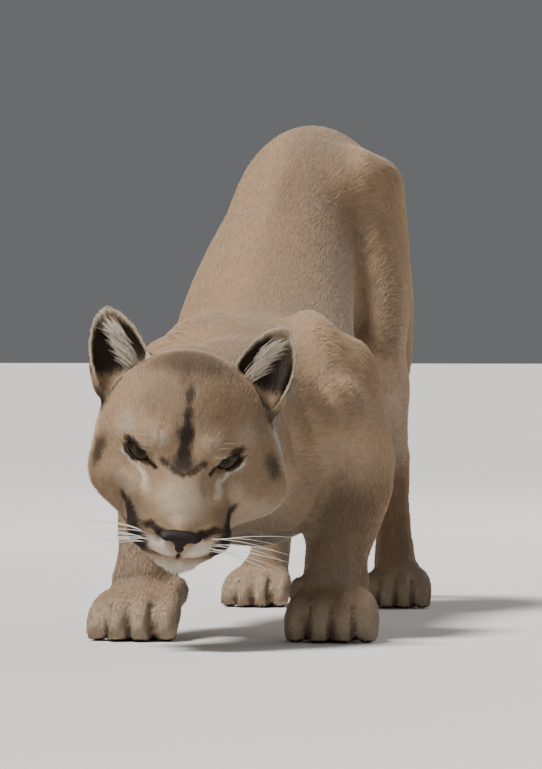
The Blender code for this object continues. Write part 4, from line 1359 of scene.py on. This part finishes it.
def coat_piece(name, corners, shading, masks, places, material):
    """One piece of the coat as a mesh, with its masks and its OFBake map."""
    count = len(corners)
    faces = (TUFT_FACES[None] + 4 * np.arange(count)[:, None, None]).reshape(-1)
    mesh = bpy.data.meshes.new(name)
    mesh.vertices.add(count * 4)
    mesh.vertices.foreach_set("co", corners.astype(np.float32).ravel())
    mesh.loops.add(len(faces))
    mesh.loops.foreach_set("vertex_index", faces.astype(np.int32))
    mesh.polygons.add(len(faces) // 3)
    mesh.polygons.foreach_set("loop_start", np.arange(0, len(faces), 3, dtype=np.int32))
    mesh.polygons.foreach_set("use_smooth", np.ones(len(faces) // 3, bool))
    mesh.update(calc_edges=True)
    pale, dark, tint = (np.repeat(mask, 4) for mask in masks)
    # Along each tuft: painted shade at its root, a little painted light at its tip.
    stored_coat(mesh, pale, dark, tint, np.tile([0.0, 0.0, 0.25, 1.0], count))
    patch = places[:, None, :] + TUFT_PATCH[None]
    layer = mesh.uv_layers.new(name="OFBake")
    layer.data.foreach_set("uv", patch.reshape(-1, 2)[faces].astype(np.float32).ravel())
    mesh.normals_split_custom_set_from_vertices(shading.reshape(-1, 3))
    mesh.materials.append(material)
    piece = new_object(name, mesh)
    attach(piece, "root")


def grow_coat(skin, bare, material):
    """The coat in pieces, one or more for each part of the body."""
    rng = np.random.default_rng(COAT_SEED)
    roots = scattered(skin, bare, rng)
    blur = rng.normal(0, MARK_BLUR, roots["points"].shape)
    pale, dark = marks_and_painted_shade(roots["points"] - SHIFT + blur, roots["normals"])
    fleck = rng.normal(0, 0.05, len(pale))
    pale = np.clip(pale + fleck * (pale > 0.03), 0, 1)
    tint = np.clip(rng.normal(0.5, 0.17, len(pale)), 0, 1)
    corners, shading = tuft_arrays(roots, rng)
    places = map_places(roots["points"], unwrap_of(skin["mesh"]))
    names = np.array([line[0] for line in COAT_LINES])[roots["owner"]]
    for name in sorted(set(names)):
        chosen = np.nonzero(names == name)[0]
        parts = math.ceil(len(chosen) / PIECE_TUFTS)
        order = chosen[np.argsort(roots["points"][chosen, 1], kind="stable")]
        for number, part in enumerate(np.array_split(order, parts), 1):
            ending = f"_{number}" if parts > 1 else ""
            masks = (pale[part], dark[part], tint[part])
            piece_name = f"coat_{name}{ending}"
            coat_piece(piece_name, corners[part], shading[part], masks, places[part], material)


# Materials.


class Nodes:
    """Short ways to place and join nodes in one tree. In a keyword, an underscore stands for a space."""

    def __init__(self, tree):
        self.tree = tree

    def add(self, kind, settings=None, inputs=None, **links):
        node = self.tree.nodes.new(kind)
        for key, value in (settings or {}).items():
            setattr(node, key, value)
        for key, value in (inputs or {}).items():
            node.inputs[key].default_value = value
        for key, source in links.items():
            self.tree.links.new(source, node.inputs[key.replace("_", " ")])
        return node

    def link(self, source, node, socket):
        self.tree.links.new(source, node.inputs[socket])

    def place(self):
        """Where a point lies on its own piece."""
        return self.add("ShaderNodeTexCoord").outputs["Object"]

    def noise(self, place, **inputs):
        """Clouds from 0 to 1."""
        return self.add("ShaderNodeTexNoise", inputs=inputs, Vector=place).outputs["Fac"]

    def ranged(self, value, **ends):
        """The value brought from one range, or 0 to 1, to another."""
        ends = {key.replace("_", " "): end for key, end in ends.items()}
        return self.add("ShaderNodeMapRange", inputs=ends, Value=value).outputs[0]

    def maths(self, operation, first, second):
        """Two values worked into one."""
        node = self.add("ShaderNodeMath", {"operation": operation})
        self.link(first, node, 0)
        self.link(second, node, 1)
        return node.outputs[0]

    def mix(self, share, first, second, blend="MIX"):
        """The mix of two colours; each is a socket or a plain colour."""
        node = self.add("ShaderNodeMix", {"data_type": "RGBA", "blend_type": blend})
        for socket, value in ((0, share), (6, first), (7, second)):
            if isinstance(value, bpy.types.NodeSocket):
                self.link(value, node, socket)
            else:
                node.inputs[socket].default_value = value
        return node.outputs[2]

    def shaded(self, colour, brightness):
        """The colour times a brightness."""
        grey = self.add("ShaderNodeCombineColor")
        for channel in range(3):
            self.link(brightness, grey, channel)
        return self.mix(1.0, colour, grey.outputs[0], "MULTIPLY")


def new_group(name, inputs, outputs):
    """A shader node group with named sockets; gives its nodes, its input node and its output node."""
    group = bpy.data.node_groups.new(name, "ShaderNodeTree")
    for socket, kind, value in inputs:
        made = group.interface.new_socket(socket, in_out="INPUT", socket_type=kind)
        made.default_value = value
    for socket, kind in outputs:
        group.interface.new_socket(socket, in_out="OUTPUT", socket_type=kind)
    nodes = Nodes(group)
    return nodes, nodes.add("NodeGroupInput"), nodes.add("NodeGroupOutput")


def coat_colour_group():
    """Tawny, pale and dark hair from the masks that the skin and the tufts carry, with painted shade towards
    each tuft's root and a little painted light at its tip.
    """
    nodes, _, out = new_group("coat_colour", (), (("Color", "NodeSocketColor"),))
    masks = nodes.add("ShaderNodeAttribute", {"attribute_name": "Coat"})
    pale, dark, tint = nodes.add("ShaderNodeSeparateColor", Color=masks.outputs["Color"]).outputs
    place = nodes.place()
    mottle = nodes.noise(place, Scale=38.0, Detail=4.0, Roughness=0.65)
    mottle = nodes.ranged(mottle, From_Min=0.36, From_Max=0.66)
    warm = nodes.mix(nodes.noise(place, Scale=9.0, Detail=3.0), TAWNY_DEEP, TAWNY_LIGHT)
    faded = nodes.mix(0.30, nodes.mix(0.16, warm, DARK_HAIR), WARM_GREY)
    base = nodes.mix(mottle, faded, warm)
    base = nodes.mix(tint, nodes.mix(0.24, base, DARK_HAIR), nodes.mix(0.20, base, CREAM))
    base = nodes.mix(pale, base, CREAM)
    base = nodes.mix(dark, base, DARK_HAIR)
    # Painted shade: darker towards the tufts' roots and on the skin under them, a little lighter at the
    # tips.
    along = nodes.ranged(masks.outputs["Alpha"], To_Min=0.62, To_Max=1.08)
    speck = nodes.ranged(nodes.noise(place, Scale=150.0, Detail=2.0), To_Min=0.90, To_Max=1.10)
    nodes.link(nodes.shaded(base, nodes.maths("MULTIPLY", along, speck)), out, "Color")
    return nodes.tree


def grain_group():
    """Small pebbles or short strokes over a surface, as a colour share and a normal."""
    inputs = (
        ("Scale", "NodeSocketFloat", 600.0),
        ("Depth", "NodeSocketFloat", 0.3),
        ("Distance", "NodeSocketFloat", 0.0005),
    )
    outputs = (("Mask", "NodeSocketFloat"), ("Normal", "NodeSocketVector"))
    nodes, given, out = new_group("grain", inputs, outputs)
    place = nodes.place()
    scale = given.outputs["Scale"]
    cells = nodes.add("ShaderNodeTexVoronoi", Vector=place, Scale=scale)
    cloud = nodes.add("ShaderNodeTexNoise", inputs={"Detail": 4.0}, Vector=place, Scale=scale)
    height = nodes.add("ShaderNodeMath", {"operation": "MULTIPLY_ADD"})
    nodes.link(cells.outputs["Distance"], height, 0)
    height.inputs[1].default_value = -1.0
    nodes.link(cloud.outputs["Fac"], height, 2)
    depth, distance = given.outputs["Depth"], given.outputs["Distance"]
    bump = nodes.add("ShaderNodeBump", Strength=depth, Distance=distance, Height=height.outputs[0])
    nodes.link(cloud.outputs["Fac"], out, "Mask")
    nodes.link(bump.outputs[0], out, "Normal")
    return nodes.tree


def new_material(name, roughness, **sockets):
    """A material's nodes and its shader, with the sockets that are the same all over it."""
    material = bpy.data.materials.new(name)
    material.use_nodes = True
    shader = material.node_tree.nodes["Principled BSDF"]
    shader.inputs["Roughness"].default_value = roughness
    for key, value in sockets.items():
        shader.inputs[key.replace("_", " ")].default_value = value
    return material, Nodes(material.node_tree), shader


def use_group(nodes, group, **inputs):
    node = nodes.add("ShaderNodeGroup", {"node_tree": group})
    for key, value in inputs.items():
        node.inputs[key].default_value = value
    return node


def hair_material(coat_colour):
    """The tufts of the coat."""
    material, nodes, shader = new_material("tawny_hair", 0.62, Specular_IOR_Level=0.18)
    nodes.link(use_group(nodes, coat_colour).outputs["Color"], shader, "Base Color")
    return material


def skin_material(coat_colour, grain):
    """The short nap on the skin between the tufts."""
    material, nodes, shader = new_material("short_nap", 0.80, Specular_IOR_Level=0.20)
    nodes.link(use_group(nodes, coat_colour).outputs["Color"], shader, "Base Color")
    nap = use_group(nodes, grain, Scale=850.0, Depth=0.5, Distance=0.0005)
    nodes.link(nap.outputs["Normal"], shader, "Normal")
    return material


def leather_material(name, dark, light, grain, roughness, scale):
    """Bare skin: the nose and the lids' edges."""
    material, nodes, shader = new_material(name, roughness, Specular_IOR_Level=0.22)
    pebbles = use_group(nodes, grain, Scale=scale, Depth=0.55, Distance=0.0006)
    nodes.link(nodes.mix(pebbles.outputs["Mask"], dark, light), shader, "Base Color")
    nodes.link(pebbles.outputs["Normal"], shader, "Normal")
    return material


def eye_material():
    """An amber iris, darkened as painted shade of the brow and lids, with its rays and dark edge round a
    round pupil, under a wet coat.
    """
    material, nodes, shader = new_material(
        "amber_eye", 0.30, Specular_IOR_Level=0.05, Coat_Weight=0.25, Coat_Roughness=0.03
    )
    axes = nodes.add("ShaderNodeSeparateXYZ", Vector=nodes.place())
    across, up = axes.outputs["X"], axes.outputs["Z"]
    from_middle = nodes.add("ShaderNodeVectorMath", {"operation": "LENGTH"})
    nodes.link(nodes.add("ShaderNodeCombineXYZ", X=across, Z=up).outputs[0], from_middle, 0)
    distance = from_middle.outputs["Value"]
    polar = nodes.add("ShaderNodeCombineXYZ", X=nodes.maths("ARCTAN2", across, up), Y=distance)
    stretch = nodes.add("ShaderNodeVectorMath", {"operation": "MULTIPLY"})
    nodes.link(polar.outputs[0], stretch, 0)
    stretch.inputs[1].default_value = EYE_RAYS
    rays = nodes.noise(stretch.outputs[0], Scale=2.2, Detail=5.0)
    ring = nodes.add("ShaderNodeValToRGB", Fac=nodes.ranged(distance, From_Max=EYE_RING_REACH))
    ramp = ring.color_ramp
    for place_on_ramp, _ in EYE_RINGS[2:]:
        ramp.elements.new(place_on_ramp)
    for element, (place_on_ramp, colour) in zip(ramp.elements, EYE_RINGS):
        element.position = place_on_ramp
        element.color = colour
    brightness = nodes.ranged(rays, To_Min=0.45, To_Max=1.35)
    nodes.link(nodes.shaded(ring.outputs["Color"], brightness), shader, "Base Color")
    return material


def whisker_material(grain):
    material, nodes, shader = new_material("whisker", 0.35, Specular_IOR_Level=0.5)
    streaks = use_group(nodes, grain, Scale=300.0, Depth=0.1, Distance=0.0001)
    nodes.link(nodes.mix(streaks.outputs["Mask"], WHISKER_WARM, WHISKER_WHITE), shader, "Base Color")
    return material


def ear_hair_material():
    material, nodes, shader = new_material("ear_hair", 0.6, Specular_IOR_Level=0.3)
    cloud = nodes.noise(nodes.place(), Scale=240.0, Detail=2.0)
    nodes.link(nodes.mix(cloud, CREAM_SHADE, CREAM), shader, "Base Color")
    return material


# Nose, lids' edges, eyes and whiskers.


def smooth_shaded(mesh):
    mesh.polygons.foreach_set("use_smooth", np.ones(len(mesh.polygons), bool))
    mesh.update()


def nose_leather():
    """The nose: broad above, drawn in at the lip, with a furrow and two comma-shaped nostrils."""
    bm = bmesh.new()
    bmesh.ops.create_icosphere(bm, subdivisions=5, radius=1)
    points = np.array([v.co for v in bm.verts])
    x, y, z = points.T
    narrow = np.interp(z, NOSE_TAPER[0], NOSE_TAPER[1])
    wide, deep, tall = NOSE_HALVES
    local = np.stack([np.copysign(np.abs(x) ** 0.8, x) * wide * narrow, y * deep, z * tall], axis=1)
    front = soft(-y, 0.0, 0.4)
    side, up = np.abs(local[:, 0]), local[:, 2]
    furrow = np.exp(-((side / 1.3) ** 2)) * (1 - soft(up, 4, 9)) * 0.9
    wing = np.exp(-(((side - 16) / 4.5) ** 2) - ((up - 5) / 4) ** 2) * 2.0
    brow = np.exp(-((up - 7.5) / 3.0) ** 2) * 1.0
    hole = np.exp(-(((side - 9.5 - 0.35 * (up - 1)) / 2.9) ** 2) - ((up - 0.3) / 2.3) ** 2) * 6.5
    slit = np.exp(-(((side - 15.5) / 3.6) ** 2) - ((up - 2.0 - 0.3 * (side - 15)) / 1.2) ** 2) * 3.5
    lip = soft(-z, 0.1, 0.9) * 4.0
    local[:, 1] += front * (furrow - wing - brow - lip + hole + slit)
    place = Matrix.Translation(on_head(*NOSE_PLACE)) @ Matrix.Rotation(math.radians(NOSE_TILT), 4, "X")
    for vert, place_in_mm in zip(bm.verts, local):
        vert.co = Vector(place_in_mm) * MM
    bmesh.ops.transform(bm, matrix=head_matrix() @ place, verts=bm.verts)
    return mesh_of(bm, "nose_leather")


def square_to(points, guide):
    """Two ways square to the path at each of its points."""
    along = unit(np.gradient(points, axis=0))
    across = unit(np.cross(along, guide))
    return across, np.cross(along, across)


def round_bar(points, radii, sides=8):
    """A closed bar of changing thickness through the points."""
    points = np.array(points, float)
    across, other = square_to(points, (0.13, 0.31, 0.94))
    angles = np.arange(sides) * 2 * math.pi / sides
    bm = bmesh.new()
    rings = []
    for centre, a, b, radius in zip(points, across, other, radii):
        ring = [centre + (a * math.cos(t) + b * math.sin(t)) * radius for t in angles]
        rings.append([bm.verts.new(p) for p in ring])
    join_rings(bm, rings)
    return mesh_of(bm, "bar")


def lid_edge(side):
    """The bare dark edge of the lids, drawn out to the inner corner."""
    path = lid_path(side, EYE_RADIUS + 1.0, steps=48)
    return round_bar(path[:-1] + [path[0]], [0.0010] * 49)


def eye_turn(side):
    """Where an eye looks: mostly ahead out of its lids, and partly up at whoever stands before it."""
    out = eye_frame(side).to_3x3() @ Vector((0, -1, 0))
    look = (out.normalized() * (1 - EYE_FOLLOW) + Vector(EYE_LOOK).normalized() * EYE_FOLLOW).normalized()
    across = look.cross(Vector((0, 0, 1))).normalized()
    return Matrix((-across, -look, across.cross(look) * -1)).transposed()


def eyeball_mesh():
    """A ball turned about its line of sight (-Y), with the cornea standing out of it."""
    bm = bmesh.new()
    sides = 64
    angles = [math.radians(a) for a in (*range(0, 46, 2), *range(48, 181, 6))]
    rings = []
    for angle in angles[1:-1]:
        swell = CORNEA_RISE * (1 - soft(math.degrees(angle), 22, 40))
        radius = EYE_RADIUS + float(swell)
        ring = []
        for i in range(sides):
            turn = 2 * math.pi * i / sides
            spread = radius * math.sin(angle)
            place = (spread * math.cos(turn), -radius * math.cos(angle), spread * math.sin(turn))
            ring.append(bm.verts.new(Vector(place) * MM))
        rings.append(ring)
    front = bm.verts.new((0, -(EYE_RADIUS + CORNEA_RISE) * MM, 0))
    rear = bm.verts.new((0, EYE_RADIUS * MM, 0))
    join_rings(bm, rings, closed_ends=False)
    for i in range(sides):
        j = (i + 1) % sides
        bm.faces.new((front, rings[0][j], rings[0][i]))
        bm.faces.new((rear, rings[-1][i], rings[-1][j]))
    return mesh_of(bm, "eyeball")


def add_eyes():
    material = eye_material()
    for word, side in SIDES:
        mesh = eyeball_mesh()
        smooth_shaded(mesh)
        mesh.materials.append(material)
        eye = new_object(f"eyeball_{word}", mesh)
        place = Matrix.Translation(eye_frame(side).translation + Vector(SHIFT))
        eye.matrix_world = place @ eye_turn(side).to_4x4()
        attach(eye, "root")
        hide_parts(f"eye_{word}")


# Where the three sides of a long hair stand round it.
HAIR_TURNS = (0, 2.0944, 4.1888)


def hair_strands(name, strands, material):
    """Long single hairs, each a tapered tube of three sides, as one piece."""
    verts, faces = [], []
    for points, thickness in strands:
        points = np.array(points, float)
        across, other = square_to(points, (0.21, 0.47, 0.86))
        first = len(verts)
        for i, centre in enumerate(points[:-1]):
            radius = thickness * (1 - i / (len(points) - 1)) ** 0.7
            for turn in HAIR_TURNS:
                verts.append(centre + (across[i] * math.cos(turn) + other[i] * math.sin(turn)) * radius)
        verts.append(points[-1])
        rings = len(points) - 1
        for i in range(rings - 1):
            for k in range(3):
                a, b = first + 3 * i + k, first + 3 * i + (k + 1) % 3
                faces += [(a, b, b + 3), (a, b + 3, a + 3)]
        last = first + 3 * (rings - 1)
        tip = first + 3 * rings
        faces += [(last + k, last + (k + 1) % 3, tip) for k in range(3)]
        faces.append((first + 2, first + 1, first))
    mesh = bpy.data.meshes.new(name)
    mesh.from_pydata(np.array(verts) + SHIFT, [], faces)
    smooth_shaded(mesh)
    mesh.materials.append(material)
    piece = new_object(name, mesh)
    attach(piece, "root")


def swept(root, out, droop, length, steps):
    """Points along a hair that leaves its root one way and then droops another way."""
    return [root + out * (t * length) + droop * (t * t * length) for t in np.linspace(-0.02, 1, steps)]


def add_whiskers(tree, material):
    """White whiskers in rows on the whisker pads, and a few over the eyes."""
    rng = np.random.default_rng(WHISKER_SEED)
    strands = []
    matrix = head_matrix().to_3x3()
    for side in (1, -1):
        for row, (up, count) in enumerate(WHISKER_ROWS):
            for i in range(count):
                across = 29 - 3.0 * i + rng.normal(0, 0.8)
                root = on_face(tree, (across + 4) * side, up + rng.normal(0, 0.7), aim=0.6)
                if root is None:
                    continue
                length = rng.uniform(*WHISKER_LENGTHS) * (1 - 0.12 * i) * MM
                rise = -0.04 - 0.11 * row + rng.normal(0, 0.04)
                out = Vector((side * (1 - 0.06 * i), -0.10 - 0.10 * i, rise))
                out = (matrix @ Vector((out.x, out.y, out.z + 0.44))).normalized()
                droop = Vector((0.10 * side, 0.20, -0.24)) * rng.uniform(0.5, 1.3)
                points = swept(root, out, droop, length, 12)
                strands.append((points, rng.uniform(*WHISKER_THICKNESS)))
        for i in range(BROW_WHISKERS):
            root = on_face(tree, (33 + 6 * i) * side, 22 + 3 * i, aim=0.9)
            if root is None:
                continue
            out = (matrix @ Vector(((0.35 + 0.3 * i) * side, -0.8, 0.7))).normalized()
            droop = Vector((0.25 * side, 0.45, -0.05))
            length = rng.uniform(*BROW_WHISKER_LENGTHS) * MM
            strands.append((swept(root, out, droop, length, 9), BROW_WHISKER_THICKNESS))
    hair_strands("whiskers", strands, material)


def add_ear_hair(material):
    """The pale hair that grows from the inner edge of each ear and sweeps up over its cup."""
    rng = np.random.default_rng(EAR_HAIR_SEED)
    for word, side in SIDES:
        matrix = ear_matrix(side)
        strands = []
        for _ in range(EAR_HAIRS):
            t = rng.random()
            from_edge = 13 - 6 * t + rng.normal(0, 2.6)
            start = Vector((-side * from_edge, -5 + rng.normal(0, 2), 2 + 38 * t)) * MM
            reach = Vector((side * rng.uniform(3, 13), -rng.uniform(0, 3), rng.uniform(14, 25))) * MM
            bend = Vector((side * rng.uniform(1, 6), rng.uniform(3, 8), 0)) * MM
            points = [matrix @ (start + reach * s + bend * s * s) for s in np.linspace(0, 1, 6)]
            strands.append((points, rng.uniform(0.00025, 0.00048)))
        hair_strands(f"ear_hair_{word}", strands, material)


# The scene.


def add_camera():
    """At the photograph's viewing angle, as far as the size of head and hindquarters tells."""
    turn = math.radians(CAMERA_TURN)
    ahead = Vector((-math.sin(turn), math.cos(turn), 0))
    across = Vector((math.cos(turn), math.sin(turn), 0))
    data = bpy.data.cameras.new("camera")
    data.sensor_width = CAMERA_SENSOR
    data.lens = CAMERA_FOCUS / PHOTO_HEIGHT * CAMERA_SENSOR
    data.clip_end = 100
    camera = new_object("camera", data)
    place = across * CAMERA_ASIDE - ahead * CAMERA_DISTANCE
    place = place + Vector((0, 0, CAMERA_HEIGHT)) + Vector(SHIFT)
    tilt = Matrix.Rotation(-math.radians(CAMERA_DOWN), 4, "X")
    frame_of_view = Matrix((across, Vector((0, 0, 1)), -ahead)).transposed().to_4x4()
    camera.matrix_world = Matrix.Translation(place) @ frame_of_view @ tilt
    bpy.context.scene.camera = camera


def turned_along(way):
    """The turn that points a lamp that way."""
    return way.to_track_quat("-Z", "Y").to_euler()


def add_lamp(name, place, size, power, colour):
    data = bpy.data.lights.new(name, "AREA")
    data.energy = power
    data.size = size
    data.color = colour
    lamp = new_object(name, data)
    lamp.location = Vector(place)
    lamp.rotation_euler = turned_along(Vector(LAMP_AIM) - Vector(place))


def add_floor():
    mesh = bpy.data.meshes.new("floor")
    corners = [(x * FLOOR_REACH, y * FLOOR_REACH, 0) for x, y in ((-1, -1), (1, -1), (1, 1), (-1, 1))]
    mesh.from_pydata(corners, [], [(0, 1, 2, 3)])
    floor = new_object("floor", mesh)
    material, nodes, shader = new_material("pale_floor", 0.85)
    cloud = nodes.noise(nodes.place(), Scale=1.5, Detail=3.0)
    nodes.link(nodes.mix(cloud, *FLOOR_SHADES), shader, "Base Color")
    mesh.materials.append(material)


def add_studio():
    """The floor, an even backdrop and the lights."""
    add_floor()
    world = bpy.data.worlds.new("studio")
    bpy.context.scene.world = world
    world.use_nodes = True
    background = world.node_tree.nodes["Background"]
    background.inputs["Color"].default_value = (*BACKDROP, 1)
    background.inputs["Strength"].default_value = BACKDROP_STRENGTH
    sun = bpy.data.lights.new("key", "SUN")
    sun.energy = KEY_STRENGTH
    sun.angle = math.radians(KEY_SOFTNESS)
    sun.color = KEY_COLOUR
    new_object("key", sun).rotation_euler = turned_along(Vector(KEY_WAY))
    for lamp in LAMPS:
        add_lamp(*lamp)


# Making the animal.


def add_skin():
    """Makes the skin, its bare parts and the masks, and gives back what the coat needs."""
    mesh = coarser_body(whole_skin(), SKIN_TRIANGLES)
    finer(mesh, face_area)
    finer(mesh, eyes_and_muzzle)
    mouth = shape_face(mesh)
    face_tree = tree_of(mesh)
    surface = Surface(mesh)
    surface.points[:, 2] = np.maximum(surface.points[:, 2], 0.0)
    outline_normals = surface.normals()
    _, sizes, _ = coat_lie(surface.points, outline_normals)
    standing = soft(surface.points[:, 2], 0.0008, 0.010)
    depth = sizes[:, 1] * MM * standing
    surface.points -= outline_normals * depth[:, None]
    surface.points[:, 2] = np.maximum(surface.points[:, 2], SKIN_FLOOR)
    opened = open_eyes(surface)
    normals = surface.normals()
    ways, sizes, owner = coat_lie(surface.points, normals)
    pale, dark = marks_and_painted_shade(surface.points, outline_normals)
    lips = 1 - soft(path_gap(surface.points, mouth), 0.0020, 0.0038)
    soles = (surface.points[:, 2] < 0.0030) & (normals[:, 2] < -0.6)
    # Painted shade: concave places low on the paws are darkened.
    hollow = (surface.pull() * normals).sum(axis=1)
    hollow = soft(hollow, 0.00004, 0.00035) * (1 - soft(surface.points[:, 2], 0.05, 0.07))
    dark = np.maximum.reduce([dark, lips * 0.97, opened * 1.0, soles * 0.95, hollow * 0.6])
    # The skin sits at 0.45 along, so it gets the painted shade of the tuft roots over it.
    stored_coat(mesh, pale * (1 - dark), dark, np.full(len(pale), 0.42), np.full(len(pale), 0.45))
    local = to_head(surface.points)
    nose_height = (local[:, 2] - NOSE_PLACE[2]) / NOSE_HALVES[2]
    nose_width = NOSE_HALVES[0] * np.interp(nose_height, *NOSE_TAPER) * 0.92
    nose = (np.abs(local[:, 0]) < nose_width) & (np.abs(nose_height) < 0.9) & (local[:, 1] > 70)
    bare = opened | soles | (path_gap(surface.points, mouth) < 0.0017) | nose
    for side in (1, -1):
        bare |= path_gap(surface.points, lid_path(side, 20.0)) < 0.0016
    skin = {"mesh": mesh, "points": surface.points + SHIFT, "normals": normals, "ways": ways}
    skin.update({"sizes": sizes, "owner": owner})
    mesh.transform(Matrix.Translation(SHIFT))
    return skin, bare, face_tree


def join_bare_parts(mesh, materials):
    """One mesh of the skin, the nose leather and the lids' edges, each with its own material."""
    parts = [(nose_leather(), 1), (lid_edge(1), 2), (lid_edge(-1), 2)]
    bm = bmesh.new()
    bm.from_mesh(mesh)
    for part, number in parts:
        part.transform(Matrix.Translation(SHIFT))
        before = len(bm.faces)
        bm.from_mesh(part)
        bm.faces.ensure_lookup_table()
        for face in bm.faces[before:]:
            face.material_index = number
    joined = bpy.data.meshes.new("skin")
    bm.to_mesh(joined)
    bm.free()
    smooth_shaded(joined)
    for material in materials:
        joined.materials.append(material)
    return joined


def main():
    coat_colour = coat_colour_group()
    grain = grain_group()
    skin, bare, face_tree = add_skin()
    grow_coat(skin, bare, hair_material(coat_colour))
    materials = (
        skin_material(coat_colour, grain),
        leather_material("nose_leather", NOSE_DARK_SHADED, NOSE_ROSE_SHADED, grain, 0.50, 900.0),
        leather_material("lid_edge", LID_DARK, LID_BROWN, grain, 0.30, 1500.0),
    )
    body = new_object("skin", join_bare_parts(skin["mesh"], materials))
    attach(body, "root")
    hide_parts(*[name for name in frame["nodes"] if not name.startswith("eye_")])
    add_eyes()
    add_whiskers(face_tree, whisker_material(grain))
    add_ear_hair(ear_hair_material())
    add_studio()
    add_camera()


main()
